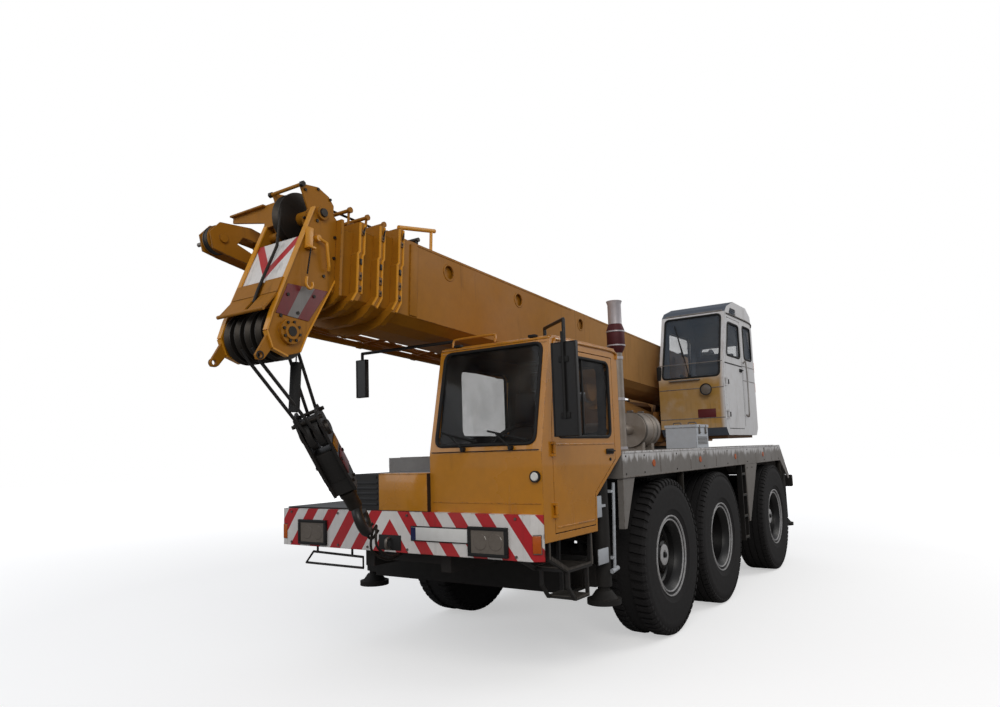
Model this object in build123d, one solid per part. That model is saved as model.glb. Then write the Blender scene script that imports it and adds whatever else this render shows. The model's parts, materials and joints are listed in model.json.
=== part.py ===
from build123d import *
import math
import os

# Mobile crane: a telescopic boom on a three-axle carrier with a single driver's cab. All sizes in millimetres.
# X points to the machine's left, Y to its rear and Z up. Stations along Y are measured back from the
# bumper's front face, and ORIGIN moves the finished pieces below the middle of the whole machine.

# Driving dimensions
WIDTH = 2500
HALF = WIDTH / 2
SEAT = 0.3          # gap between pieces that rest on each other
SLIDE = 0.5         # gap at guides and wear pads
CLEAR = 6           # gap round moving panels
PIN_PLAY = 0.06     # radial play of pins and spindles

TYRE_R = 680
TYRE_W = 375
BEAD_R = 330
RIM_FLANGE_R = 350
WHEEL_X = HALF - TYRE_W / 2
KINGPIN_X = 800
KINGPIN_R = 30
SPINDLE_R = 45

RAIL_IN = 330
RAIL_OUT = 420
FRAME_LOW = 900
FRAME_TOP = 1400
DECK_TOP = 1615
DECK_PLATE = 12
DECK_FRONT = 1270
DECK_REAR = 6400
FASCIA_LOW = 1403
TAIL_Y = 6838
TAIL_Z = 1181

BUMPER_LOW = 937
BUMPER_TOP = 1232
BUMPER_DEPTH = 120

CAB_IN = 310
CAB_FRONT = 45
CAB_REAR = 1250
CAB_FLOOR = 1050
CAB_ROOF = 2425
CAB_WALL = 35
GLASS = 6

SLEW_Y = 4950
SLEW_R = 600
SLEW_TOP = 1650
PLATFORM_Z = 1750

OPERATOR_IN = 420
OPERATOR_OUT = 1200
OPERATOR_FRONT = 4220
OPERATOR_REAR = 5560
OPERATOR_ROOF = 3380

PIVOT_Y = 6350
PIVOT_Z = 2500
PIVOT_R = 60
BOOM_RISE = 3.26    # degrees above level
BOOM_HALF = 310
BOOM_TOP = 313
BOOM_LOW = -337
BOOM_REAR = -150
BOOM_WALL = 8
BOOM_STEP = 24      # each section is this much smaller all round
MOUTH_PITCH = 165
BASE_MOUTH = 6640

EYE_S = 3300
EYE_T = -440
BARREL_Y = 5000
BARREL_Z = 1950
BARREL_R = 125
ROD_R = 70

HEAD_PLATE_X = 232
LOWER_SHEAVE_S = 7473
LOWER_SHEAVE_T = -527
LOWER_SHEAVE_R = 165
UPPER_SHEAVE_S = 7264
UPPER_SHEAVE_T = 290
UPPER_SHEAVE_R = 180
HOOK_LEAN = 34.2    # degrees that the lashed hook block leans back from plumb
HOOK_TWIST = 40     # degrees that it is turned about its own length

BEAM_W = 170
BEAM_H = 170
BEAM_TAIL = -900
JACK_X = 1115
JACK_R = 65
PAD_R = 130
PAD_Z = 470
MIRROR_OUT = 1520


# Helpers: solids between named limits
def block(x0, x1, y0, y1, z0, z1):
    return Pos((x0 + x1) / 2, (y0 + y1) / 2, (z0 + z1) / 2) * Box(x1 - x0, y1 - y0, z1 - z0)


def plate_x(points, x0, x1):
    """A plate with its outline (y, z) and its thickness from x0 to x1."""
    outline = make_face(Polyline([(x0, y, z) for y, z in points], close=True))
    return extrude(outline, amount=x1 - x0, dir=(1, 0, 0))


def plate_y(points, y0, y1):
    """A plate with its outline (x, z) and its thickness from y0 to y1."""
    outline = make_face(Polyline([(x, y0, z) for x, z in points], close=True))
    return extrude(outline, amount=y1 - y0, dir=(0, 1, 0))


def plate_z(points, z0, z1):
    """A plate with its outline (x, y) and its thickness from z0 to z1."""
    outline = make_face(Polyline([(x, y, z0) for x, y in points], close=True))
    return extrude(outline, amount=z1 - z0, dir=(0, 0, 1))


def bar_x(r, x0, x1, y, z):
    return Pos((x0 + x1) / 2, y, z) * Rot(0, 90, 0) * Cylinder(r, x1 - x0)


def bar_y(r, y0, y1, x, z):
    return Pos(x, (y0 + y1) / 2, z) * Rot(90, 0, 0) * Cylinder(r, y1 - y0)


def bar_z(r, z0, z1, x, y):
    return Pos(x, y, (z0 + z1) / 2) * Cylinder(r, z1 - z0)


def tube(r, a, b):
    """A round bar between two points."""
    start, end = Vector(*a), Vector(*b)
    way = end - start
    return extrude(Plane(origin=start, z_dir=way) * Circle(r), amount=way.length)


def ring_x(points, y, z, x=0):
    """A solid of revolution about an axis along X, from (x, r) points."""
    outline = make_face(Polyline([(x + dx, y, z + r) for dx, r in points], close=True))
    return revolve(outline, axis=Axis((x, y, z), (1, 0, 0)))


def both(solid):
    """The same piece on the left and on the right."""
    return solid + mirror(solid, about=Plane.YZ)


def right_of(solid):
    return mirror(solid, about=Plane.YZ)


PARTS = {}


def add(name, *solids):
    PARTS[name] = solids


# Running gear: (number, station, steered, driven hub)
AXLES = [
    (1, 2250, True, True),
    (2, 3700, True, False),
    (3, 5990, False, True),
]

# Tyre half profile: (distance from the middle plane, radius)
TYRE_SIDE = [
    (158, BEAD_R),
    (158, RIM_FLANGE_R + 4),
    (TYRE_W / 2 - 6, 430),
    (TYRE_W / 2, 520),
    (TYRE_W / 2 - 6, 610),
    (TYRE_W / 2 - 22, 664),
    (TYRE_W / 2 - 60, TYRE_R),
]


def tyre(y):
    profile = TYRE_SIDE + [(-x, r) for x, r in reversed(TYRE_SIDE)]
    return ring_x(profile, y, TYRE_R, WHEEL_X)


def rim(y, driven):
    """Rim with its hub. A driven hub carries a planetary cap, the other one is a deep dish."""
    disc, cap_r, cap_out = (28, 127, 100) if driven else (-18, 95, 30)
    bead = 158 + SEAT
    profile = [
        (-bead - 10, BEAD_R - 16), (-bead - 10, RIM_FLANGE_R), (-bead, RIM_FLANGE_R),
        (-bead, BEAD_R - SEAT), (bead, BEAD_R - SEAT), (bead, RIM_FLANGE_R),
        (bead + 10, RIM_FLANGE_R), (bead + 10, BEAD_R - 14), (bead - 20, BEAD_R - 24),
        (disc + 14, BEAD_R - 40), (disc, BEAD_R - 80), (disc, cap_r + 45), (disc + 14, cap_r + 35),
        (disc + 14, cap_r), (cap_out - 25, cap_r), (cap_out, cap_r - 30), (cap_out, 0),
        (-8, 0), (-8, SPINDLE_R + PIN_PLAY), (-120, SPINDLE_R + PIN_PLAY), (-120, 100),
        (disc - 14, 110), (disc - 14, BEAD_R - 80), (disc, BEAD_R - 20),
    ]
    return ring_x(profile, y, TYRE_R, WHEEL_X)


def knuckle(y):
    """Steering knuckle: barrel on the kingpin, flange and wheel spindle."""
    body = bar_z(56, TYRE_R - 79, TYRE_R + 79, KINGPIN_X, y)
    body += bar_x(74, KINGPIN_X + 40, KINGPIN_X + 66, y, TYRE_R)
    body += bar_x(SPINDLE_R, KINGPIN_X + 30, WHEEL_X - 10, y, TYRE_R)
    return body - bar_z(KINGPIN_R + PIN_PLAY, TYRE_R - 90, TYRE_R + 90, KINGPIN_X, y)


SPRING_X = 500
SPRING_HALF = 470


def axle(y, steered, driven):
    beam = bar_x(60, -705, 705, y, TYRE_R)
    if steered:
        end = block(690, 735, y - 55, y + 55, TYRE_R - 112, TYRE_R + 112)
        end += block(690, 850, y - 50, y + 50, TYRE_R + 85, TYRE_R + 112)
        end += block(690, 850, y - 50, y + 50, TYRE_R - 112, TYRE_R - 85)
        end += bar_z(KINGPIN_R, TYRE_R - 130, TYRE_R + 130, KINGPIN_X, y)
    else:
        end = bar_x(60, 700, KINGPIN_X + 66, y, TYRE_R) + bar_x(74, KINGPIN_X + 40, KINGPIN_X + 66, y, TYRE_R)
        end += bar_x(SPINDLE_R, KINGPIN_X + 30, WHEEL_X - 10, y, TYRE_R)
    beam += both(end)
    if driven:
        housing = [(-230, 0), (-230, 70), (-110, 165), (110, 165), (230, 70), (230, 0)]
        beam += ring_x(housing, y, TYRE_R)
        beam += bar_y(80, y, y + 260, 0, TYRE_R)
    spring = plate_x([
        (y - SPRING_HALF, 850), (y - SPRING_HALF, 866), (y, 812), (y + SPRING_HALF, 866),
        (y + SPRING_HALF, 850), (y + 120, 742), (y + 60, 700), (y - 60, 700), (y - 120, 742),
    ], SPRING_X - 42, SPRING_X + 42)
    return beam + both(spring)


add("axles", *[axle(y, steered, driven) for _, y, steered, driven in AXLES])
for number, y, steered, driven in AXLES:
    for side, place in (("left", lambda s: s), ("right", right_of)):
        add(f"tyre_{number}_{side}", place(tyre(y)))
        add(f"rim_{number}_{side}", place(rim(y, driven)))
        if steered:
            add(f"knuckle_{number}_{side}", place(knuckle(y)))


# Carrier frame: front horns under the cab, rails beside the engine, torsion box with the slewing pedestal
ENGINE_REAR = 2620
BOX_FRONT = 2750
FRONT_BOX_Y = 1010      # middle of the front outrigger box
FRONT_BOX_W = 2 * (BEAM_W + 10) + 3 * 15
FRONT_BOX_LOW = 578
FRONT_BOX_TOP = 800
REAR_BOX_FRONT = 6790
REAR_BOX_REAR = 7040
REAR_BOX_LOW = 600
REAR_BOX_TOP = 1180


def chassis_frame():
    rail = block(RAIL_IN, RAIL_OUT, BUMPER_DEPTH + SEAT, 1320, FRONT_BOX_TOP + SEAT, CAB_FLOOR - SEAT)
    rail += block(RAIL_IN, RAIL_OUT, 1255, BOX_FRONT + 10, FRAME_LOW, FRAME_TOP)
    for _, y, _, _ in AXLES:
        for end in (y - SPRING_HALF - SEAT - 40, y + SPRING_HALF + SEAT):
            rail += block(RAIL_OUT - 10, SPRING_X + 42, end, end + 40, 836, 1000)
    frame = both(rail)
    frame += plate_x([(BOX_FRONT, FRAME_LOW), (BOX_FRONT, FRAME_TOP), (6540, FRAME_TOP),
        (REAR_BOX_FRONT - SEAT, 1190),
                      (REAR_BOX_FRONT - SEAT, FRAME_LOW)], -RAIL_OUT, RAIL_OUT)
    for y in (150, 1255):
        frame += block(-RAIL_IN - 10, RAIL_IN + 10, y, y + 60, 850, 1030)
    return frame + bar_z(SLEW_R, FRAME_TOP - 10, SLEW_TOP, 0, SLEW_Y)


add("chassis_frame", chassis_frame())


def outrigger_box_front():
    y0 = FRONT_BOX_Y - FRONT_BOX_W / 2
    box = block(-990, 990, y0, y0 + FRONT_BOX_W, FRONT_BOX_LOW, FRONT_BOX_TOP)
    for row in (0, 1):
        start = y0 + 15 + row * (BEAM_W + 10 + 15)
        box -= block(-1000, 1000, start, start + BEAM_W + 10, FRONT_BOX_LOW + 22, FRONT_BOX_TOP - 22)
    return box


FRONT_BEAMS = {     # side: middle of the beam's tunnel
    "left": FRONT_BOX_Y + (BEAM_W + 10 + 15) / 2,
    "right": FRONT_BOX_Y - (BEAM_W + 10 + 15) / 2,
}
REAR_BEAMS = {"left": 1020, "right": 760}   # side: middle height of the beam
REAR_BEAM_Y = (REAR_BOX_FRONT + REAR_BOX_REAR) / 2


def outrigger_box_rear():
    box = block(-990, 990, REAR_BOX_FRONT, REAR_BOX_REAR, REAR_BOX_LOW, REAR_BOX_TOP)
    for z in REAR_BEAMS.values():
        box -= block(-1000, 1000, REAR_BEAM_Y - BEAM_W / 2 - 5, REAR_BEAM_Y + BEAM_W / 2 + 5,
                     z - BEAM_H / 2 - SLIDE, z + BEAM_H / 2 + 6)
    return box + block(-HALF + 4, HALF - 4, REAR_BOX_REAR - 10, REAR_BOX_REAR, 1010, REAR_BOX_TOP)


add("outrigger_boxes", outrigger_box_front(), outrigger_box_rear())


def outrigger_beam(y, z, jack_top):
    """Sliding beam with the jack's barrel at its end, for the left side."""
    beam = block(BEAM_TAIL, JACK_X - 20, y - BEAM_W / 2, y + BEAM_W / 2, z - BEAM_H / 2, z + BEAM_H / 2)
    beam += bar_z(JACK_R, PAD_Z + 130, jack_top, JACK_X, y)
    return beam - bar_z(46, PAD_Z, jack_top - 40, JACK_X, y)


def jack(y, jack_top):
    """Rod and round foot of one stabiliser jack."""
    foot = bar_z(45, PAD_Z + 50, jack_top - 40 - 6, JACK_X, y)
    foot += Pos(JACK_X, y, PAD_Z + 70) * Cone(105, 60, 60)
    return foot + bar_z(PAD_R, PAD_Z, PAD_Z + 40, JACK_X, y)


front_z = FRONT_BOX_LOW + 22 + SLIDE + BEAM_H / 2
OUTRIGGERS = [      # name, station, beam height, top of the jack
    ("front_left", FRONT_BEAMS["left"], front_z, 1400),
    ("front_right", FRONT_BEAMS["right"], front_z, 1400),
    ("rear_left", REAR_BEAM_Y, REAR_BEAMS["left"], 1400),
    ("rear_right", REAR_BEAM_Y, REAR_BEAMS["right"], 1400),
]
for name, y, z, top in OUTRIGGERS:
    place = right_of if name.endswith("right") else (lambda s: s)
    add(f"outrigger_beam_{name}", place(outrigger_beam(y, z, top)))
    add(f"jack_{name}", place(jack(y, top)))


# Deck with side fascias, cross ribs, sloping tail and the gussets before, between and behind the wheels
def deck():
    skin = HALF - 12
    top = block(-HALF, HALF, DECK_FRONT, DECK_REAR, DECK_TOP - DECK_PLATE, DECK_TOP)
    top -= bar_z(SLEW_R + 40, DECK_TOP - 40, DECK_TOP + 10, 0, SLEW_Y)
    side = block(skin, HALF, DECK_FRONT, DECK_REAR, FASCIA_LOW, DECK_TOP - 2)
    side += plate_x([(DECK_REAR - 5, FASCIA_LOW), (DECK_REAR - 5, DECK_TOP), (DECK_REAR, DECK_TOP),
                     (TAIL_Y, TAIL_Z + 20), (TAIL_Y, TAIL_Z - 40), (TAIL_Y - 40, TAIL_Z - 40)], skin, HALF)
    side += plate_x([(1275, 1010), (1290, 1590), (1600, 1590), (1320, 1010)], HALF - 60, skin + 2)
    side += plate_x([(4680, 1430), (4712, 740), (4760, 740), (5200, 1430)], skin, HALF)
    whole = top + both(side)
    for y in (DECK_FRONT, 2700, 4190, 5720, 6340):
        whole += block(-skin - 5, skin + 5, y, y + 12, FRAME_TOP + SEAT, DECK_TOP - 6)
    slope = math.atan2(DECK_TOP - TAIL_Z, TAIL_Y - DECK_REAR)
    whole += plate_x([(DECK_REAR - 5, DECK_TOP - 12), (DECK_REAR, DECK_TOP), (TAIL_Y, TAIL_Z + 20),
                      (TAIL_Y - 12, TAIL_Z + 12)], -skin - 5, skin + 5)
    return whole


add("deck", deck())


# Front: bumper channel, low front body beside the cab
LAMP_LOW = 963
LAMP_TOP = 1135
HEADLAMPS = ((690, 990), (-1040, -735))


INDICATOR_W = 45
INDICATOR_LOW, INDICATOR_TOP = 985, 1105


def indicator_left(play=0):
    """Indicator in the bumper's bevelled corner, or its hole."""
    middle = (INDICATOR_LOW + INDICATOR_TOP) / 2
    return Pos(HALF - 40, 20, middle) * Rot(0, 0, 30.3) * Box(56 + 2 * play, 22, 120 - 2 * SEAT + 2 * play)


def bumper():
    """Folded channel, shallower above the cab floor and below the cab, bevelled at the cab's corner."""
    profile = [(0, BUMPER_LOW), (0, BUMPER_TOP), (CAB_FRONT - SEAT, BUMPER_TOP),
        (CAB_FRONT - SEAT, CAB_FLOOR - 8),
               (BUMPER_DEPTH, CAB_FLOOR - 8), (BUMPER_DEPTH, BUMPER_LOW)]
    bevel = plate_z([(HALF - 79, -1), (HALF + 10, -1), (HALF + 10, 51)], BUMPER_LOW - 1, BUMPER_TOP + 1)
    beam = plate_x(profile, -HALF, HALF) - bevel
    beam -= block(950, HALF + 1, CAB_FRONT - SEAT, BUMPER_DEPTH + 1, BUMPER_LOW - 1, CAB_FLOOR)
    hollow = block(-HALF + 8, HALF - 8, 8, CAB_FRONT, BUMPER_LOW + 8, BUMPER_TOP - 8)
    hollow += block(-HALF + 8, HALF - 8, 8, BUMPER_DEPTH + 1, BUMPER_LOW + 8, CAB_FLOOR)
    beam -= hollow - Pos(-4, 7, 0) * bevel
    for x0, x1 in HEADLAMPS:
        beam -= block(x0, x1, -1, 20, LAMP_LOW, LAMP_TOP)
    beam -= indicator_left(SEAT)
    return beam - block(-HALF - 1, -HALF + INDICATOR_W, -1, CAB_FRONT - 8, INDICATOR_LOW, INDICATOR_TOP)


add("front_bumper", bumper())

BODY_TOP = 1505


def front_body():
    """Closed box beside the driver's cab, under the boom, with the low platform on the right."""
    low = BUMPER_TOP + SEAT
    body = block(-450, CAB_IN - SEAT, 8, 1240, low, BODY_TOP)
    body -= block(-440, CAB_IN - 10, 20, 1228, low + 12, BODY_TOP - 10)
    body += plate_z([(-HALF + 20, 30), (-445, 30), (-445, 1240), (-980, 1240), (-980, 820),
        (-HALF + 20, 820)],
                    low, low + 12)
    for y in (200, 1180):
        body += block(-RAIL_OUT, -RAIL_IN, y, y + 50, CAB_FLOOR, low + 5)
    return body


add("front_body", front_body())

# Driver's cab: side outline (y, z), from the front lower corner round by the roof
SILL_Z = 1640
CAB_OUTLINE = [
    (CAB_FRONT, CAB_FLOOR), (CAB_FRONT, SILL_Z), (205, CAB_ROOF - 30), (250, CAB_ROOF),
    (CAB_REAR - 40, CAB_ROOF), (CAB_REAR, CAB_ROOF - 40), (CAB_REAR, 1590), (800, 1300), (790, CAB_FLOOR),
]


def inset(points, distance, x0, x1):
    """The plate of an outline drawn in by a distance."""
    face = make_face(Polyline([(x0, y, z) for y, z in points], close=True))
    face = offset(face, -distance, kind=Kind.INTERSECTION)
    return extrude(face, amount=x1 - x0, dir=(1, 0, 0))


WINDSCREEN = ((362, 1195), (1692, 2372))     # x limits and z limits of the cut
DOOR_OUTLINE = [(190, 1100), (190, 1800), (262, 2340), (1140, 2340), (1140, 1560), (780, 1326), (760, 1100)]
DOOR_WINDOW = [(262, 1730), (325, 2300), (1075, 2300), (1075, 1730)]
CAB_INNER_WINDOW = [(400, 1760), (400, 2280), (1050, 2280), (1050, 1760)]
REAR_WINDOW = ((500, 1080), (1760, 2300))
DOOR_HINGES = (1250, 1650)


def rounded(points, radius, x0, x1, shrink=0):
    """A plate with round corners, its outline (y, z) drawn in by shrink."""
    face = make_face(Polyline([(x0, y, z) for y, z in points], close=True))
    if shrink:
        face = offset(face, -shrink, kind=Kind.INTERSECTION)
    face = fillet(face.vertices(), radius - shrink)
    return extrude(face, amount=x1 - x0, dir=(1, 0, 0))


HINGE_OFF = 16      # hinge axis outside the wall's face
HINGE_LEAD = 3      # hinge axis ahead of the door's front edge
HINGE_R = 12
HINGE_PIN_R = 6


def hinge_pin(x, y, z):
    """Fixed half of a door hinge: two ears on the wall and their pin."""
    y -= HINGE_LEAD
    pin = bar_z(HINGE_PIN_R, z - 50, z + 50, x + HINGE_OFF, y)
    for low, high in ((z - 50, z - 31), (z + 31, z + 50)):
        pin += bar_z(HINGE_R, low, high, x + HINGE_OFF, y) + block(x - 1, x + HINGE_OFF, y - 25, y, low, high)
    return pin


def hinge_knuckle(x, y, z):
    """Door half of a hinge."""
    y -= HINGE_LEAD
    knuckle = bar_z(HINGE_R, z - 30, z + 30, x + HINGE_OFF, y) + block(x - 1, x + HINGE_OFF, y, y + 25,
        z - 30, z + 30)
    return knuckle - bar_z(HINGE_PIN_R + PIN_PLAY, z - 35, z + 35, x + HINGE_OFF, y)


def window_y(limits, radius, y0, y1, shrink=0):
    (x0, x1), (z0, z1) = limits
    frame = Plane(origin=((x0 + x1) / 2, y0, (z0 + z1) / 2), x_dir=(1, 0, 0), z_dir=(0, 1, 0))
    sheet = frame * RectangleRounded(x1 - x0 - 2 * shrink, z1 - z0 - 2 * shrink, radius - shrink)
    return extrude(sheet, amount=y1 - y0)


def driver_cab():
    shell = plate_x(CAB_OUTLINE, CAB_IN, HALF) - inset(CAB_OUTLINE, CAB_WALL, CAB_IN + CAB_WALL,
        HALF - CAB_WALL)
    shell -= window_y(WINDSCREEN, 60, CAB_FRONT - 10, 260)
    shell -= inset(DOOR_OUTLINE, -CLEAR, HALF - CAB_WALL - 5, HALF + 5)
    shell -= rounded(CAB_INNER_WINDOW, 60, CAB_IN - 5, CAB_IN + CAB_WALL + 5)
    shell -= window_y(REAR_WINDOW, 60, CAB_REAR - CAB_WALL - 5, CAB_REAR + 5)
    for z in DOOR_HINGES:
        shell += hinge_pin(HALF, DOOR_OUTLINE[0][0], z)
    return shell


add("driver_cab", driver_cab())


def front_slope(depth):
    """The layer of the cab's sloping front that the windscreen fills, as a solid slab."""
    (y0, z0), (y1, z1) = CAB_OUTLINE[1], CAB_OUTLINE[2]
    return plate_x([(y0 + 8, z0), (y1 + 8, z1), (y1 + 8 + depth, z1), (y0 + 8 + depth, z0)], CAB_IN, HALF)


add(
    "cab_glass",
    front_slope(GLASS) & window_y(WINDSCREEN, 60, CAB_FRONT - 10, 260, SEAT),
    rounded(CAB_INNER_WINDOW, 60, CAB_IN + 8, CAB_IN + 8 + GLASS, SEAT),
    window_y(REAR_WINDOW, 60, CAB_REAR - 8 - GLASS, CAB_REAR - 8, SEAT),
)


def driver_door():
    leaf = plate_x(DOOR_OUTLINE, HALF - CAB_WALL, HALF)
    leaf -= rounded(DOOR_WINDOW, 60, HALF - CAB_WALL - 5, HALF + 5)
    for z in DOOR_HINGES:
        leaf += hinge_knuckle(HALF, DOOR_OUTLINE[0][0], z)
    return leaf


add("driver_door", driver_door())
add("driver_door_glass", rounded(DOOR_WINDOW, 60, HALF - 14, HALF - 8, SEAT))

SEAT_X = 790


def seat(x, y, floor):
    """Seat on its pedestal, facing the front."""
    chair = block(x - 120, x + 120, y - 120, y + 120, floor + SEAT, floor + 330)
    chair += block(x - 240, x + 240, y - 250, y + 240, floor + 330, floor + 440)
    return chair + plate_x([(y + 170, floor + 430), (y + 250, floor + 430), (y + 350, floor + 1010),
                            (y + 270, floor + 1010)], x - 230, x + 230)


def cab_interior():
    floor = CAB_FLOOR + CAB_WALL
    dash = plate_x([(CAB_FRONT + CAB_WALL + SEAT, 1180), (CAB_FRONT + CAB_WALL + SEAT, 1560), (240, 1600),
                    (330, 1560), (230, 1180)], CAB_IN + 50, HALF - 50)
    column = tube(28, (SEAT_X, 250, 1500), (SEAT_X, 430, 1680))
    wheel = Pos(SEAT_X, 432, 1682) * Rot(45, 0, 0) * Torus(215, 16)
    spokes = Pos(SEAT_X, 432, 1682) * Rot(45, 0, 0) * Box(420, 40, 14)
    return dash + column + wheel + spokes, seat(SEAT_X, 560, floor)


add("cab_interior", *cab_interior())

# Engine: one plain block on four feet between the rails
def engine_block():
    block_low, block_top = 950, 1560
    body = block(-260, 260, 1390, ENGINE_REAR, block_low, block_top)
    for y in (1450, 2450):
        body += block(-RAIL_IN + SEAT, RAIL_IN - SEAT, y, y + 80, 1100, 1180)
    return body


add("engine_block", engine_block())

SILENCER_X = 800
SILENCER_Z = 1812
SILENCER_R = 165
SILENCER_FRONT, SILENCER_REAR = 2440, 2800
STACK_X = 1100
STACK_Y = 1585
STACK_TOP = 2890


def exhaust():
    """Silencer on two saddles, front pipe and upright stack with its spark arrester."""
    body = bar_y(SILENCER_R, SILENCER_FRONT, SILENCER_REAR, SILENCER_X, SILENCER_Z)
    body += bar_y(SILENCER_R + 5, SILENCER_REAR - 150, SILENCER_REAR + 10, SILENCER_X, SILENCER_Z)
    for y in (SILENCER_FRONT + 40, SILENCER_REAR - 100):
        body += block(SILENCER_X - 110, SILENCER_X + 110, y, y + 60, DECK_TOP + SEAT, SILENCER_Z - 100)
    body += bar_y(48, STACK_Y, SILENCER_FRONT + 10, SILENCER_X, SILENCER_Z)
    body += Pos(SILENCER_X, STACK_Y, SILENCER_Z) * Sphere(48)
    body += bar_x(48, SILENCER_X, STACK_X, STACK_Y, SILENCER_Z)
    stack = make_face(Polyline([(STACK_X, STACK_Y, z) if r == 0 else (STACK_X + r, STACK_Y, z) for r, z in [
        (0, DECK_TOP + SEAT), (60, DECK_TOP + SEAT), (60, DECK_TOP + 12), (48, DECK_TOP + 12), (48, 2440),
        (74, 2500), (74, 2640), (56, 2690), (56, STACK_TOP - 30), (66, STACK_TOP), (0, STACK_TOP)]],
        close=True))
    stack = revolve(stack, axis=Axis((STACK_X, STACK_Y, 0), (0, 0, 1)))
    return body + stack - bar_z(46, STACK_TOP - 120, STACK_TOP + 10, STACK_X, STACK_Y)


add("exhaust", exhaust())


def deck_boxes():
    grey = block(880, 1205, 3165, 3525, DECK_TOP + SEAT, 1838)
    grey += block(872, 1213, 3157, 3533, 1828, 1858)
    tank = block(-1200, -760, 4560, 5180, 760, FRAME_TOP - 10)
    tank = fillet(tank.edges().filter_by(Axis.Y), 60)
    hanger = block(-820, -RAIL_OUT - SEAT, 4640, 4700, 1000, 1080) + block(-820, -RAIL_OUT - SEAT, 5040,
        5100, 1000, 1080)
    return grey, tank + hanger


add("deck_boxes", *deck_boxes())


# Steps below the cab door, ladder between the wheels
STEP_SIDE = [(130, CAB_FLOOR - SEAT), (130, 950), (355, 843), (673, 841), (685, CAB_FLOOR - SEAT)]


def steps():
    """Hanging frame with an upper and a lower tread."""
    outer = [(105, CAB_FLOOR - SEAT), (105, 935), (350, 820), (695, 818), (710, CAB_FLOOR - SEAT)]
    hanger = plate_x(outer + STEP_SIDE[::-1], 1215, 1240) + plate_x(outer + STEP_SIDE[::-1], 960, 985)
    hanger += plate_x([(350, 820), (355, 843), (695, 841), (695, 818)], 960, 1240)
    lower = [(350, 830), (350, 720), (440, 622), (640, 622), (640, 830), (622, 830), (622, 640), (448, 640),
             (368, 727), (368, 830)]
    hanger += plate_x(lower, 1215, 1240) + plate_x(lower, 1010, 1035)
    return hanger + block(1010, 1240, 448, 640, 622, 640)


def ladder():
    rails = block(HALF - 62, HALF - 4, 4520, 4532, 540, FASCIA_LOW - SEAT)
    rails += block(HALF - 62, HALF - 4, 4668, 4679, 540, FASCIA_LOW - SEAT)
    for row in range(4):
        z = 560 + row * 240
        rails += block(HALF - 62, HALF - 4, 4525, 4675, z, z + 22)
    return rails


add("steps_ladders", steps(), ladder())

# Lamps: headlamps, front and rear indicators, tail lamps
LAMP_DEPTH = 44


def lamps():
    row = []
    for x0, x1 in HEADLAMPS:
        row.append(block(x0 + SEAT, x1 - SEAT, -14, CAB_FRONT - 5, LAMP_LOW + SEAT, LAMP_TOP - SEAT))
    row.append(indicator_left())
    row.append(block(-HALF, -HALF + INDICATOR_W - SEAT, 0, CAB_FRONT - 8 - SEAT, INDICATOR_LOW + SEAT,
                     INDICATOR_TOP - SEAT))
    for side in (1, -1):
        x0, x1 = sorted((side * (HALF - 150), side * (HALF - 4)))
        row.append(block(x0, x1, REAR_BOX_REAR + SEAT, REAR_BOX_REAR + LAMP_DEPTH, 1020, 1170))
    return row


add("lamps", *lamps())


def mirrors():
    """Tall mirror on a tube loop at the door side, and a smaller one on an arm at the inner side."""
    foot_y, arm_z, stem = 300, CAB_ROOF + 60, MIRROR_OUT - 90
    tall = block(MIRROR_OUT - 180, MIRROR_OUT, 66, 96, 1725, 2335)
    tall += bar_z(12, CAB_ROOF + SEAT, arm_z, HALF - 90, foot_y) + Pos(HALF - 90, foot_y, arm_z) * Sphere(12)
    tall += tube(12, (HALF - 90, foot_y, arm_z), (stem, 81, arm_z)) + Pos(stem, 81, arm_z) * Sphere(12)
    tall += bar_z(12, 2325, arm_z, stem, 81)
    inner = CAB_IN + 40
    small = block(-450, -343, 66, 96, 2100, 2400)
    small += bar_z(12, CAB_ROOF + SEAT, arm_z, inner, foot_y) + Pos(inner, foot_y, arm_z) * Sphere(12)
    small += tube(12, (inner, foot_y, arm_z), (-396, 81, 2450)) + Pos(-396, 81, 2450) * Sphere(12)
    small += bar_z(12, 2390, 2450, -396, 81)
    return tall, small


add("mirrors", *mirrors())


# Superstructure: turntable with its pin, counterweight, winch, hydraulic box
CHEEK_IN = 330
CHEEK_OUT = 370


def turntable():
    cheek = plate_x([(4200, 1700), (4200, 2060), (5880, 2090), (6130, 2600), (6240, 2660), (6470, 2660),
                     (6560, 2560), (6560, 2000), (6260, 1700)], CHEEK_IN, CHEEK_OUT)
    frame = both(cheek)
    frame += bar_z(SLEW_R + 50, SLEW_TOP + SLIDE, 1702, 0, SLEW_Y)
    frame += block(-CHEEK_OUT, CHEEK_OUT, 4200, 6250, 1700, 1725)
    frame += block(CHEEK_OUT - 5, 1150, 4400, 5450, PLATFORM_Z - 30, PLATFORM_Z - SEAT)
    frame += block(-1150, -CHEEK_OUT + 5, 4400, 5950, PLATFORM_Z - 30, PLATFORM_Z - SEAT)
    frame += block(-CHEEK_OUT, CHEEK_OUT, 6530, 6560, 1990, 2300)
    frame += bar_x(PIVOT_R, -CHEEK_OUT - 30, CHEEK_OUT + 30, PIVOT_Y, PIVOT_Z)
    for x in (-125, 90):
        ear = [(BARREL_Y + dy, z) for dy, z in ((-110, 1720), (-88, 1950), (-50, 2010), (50, 2010),
            (88, 1950), (110, 1720))]
        frame += plate_x(ear, x, x + 35)
    return frame + bar_x(45, -130, 130, BARREL_Y, BARREL_Z)


add("turntable", turntable())

WINCH_Y = 6890
WINCH_Z = 2950
WINCH_R = 160
WEIGHT_HALF = 850
WEIGHT_TOP = 2720


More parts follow.
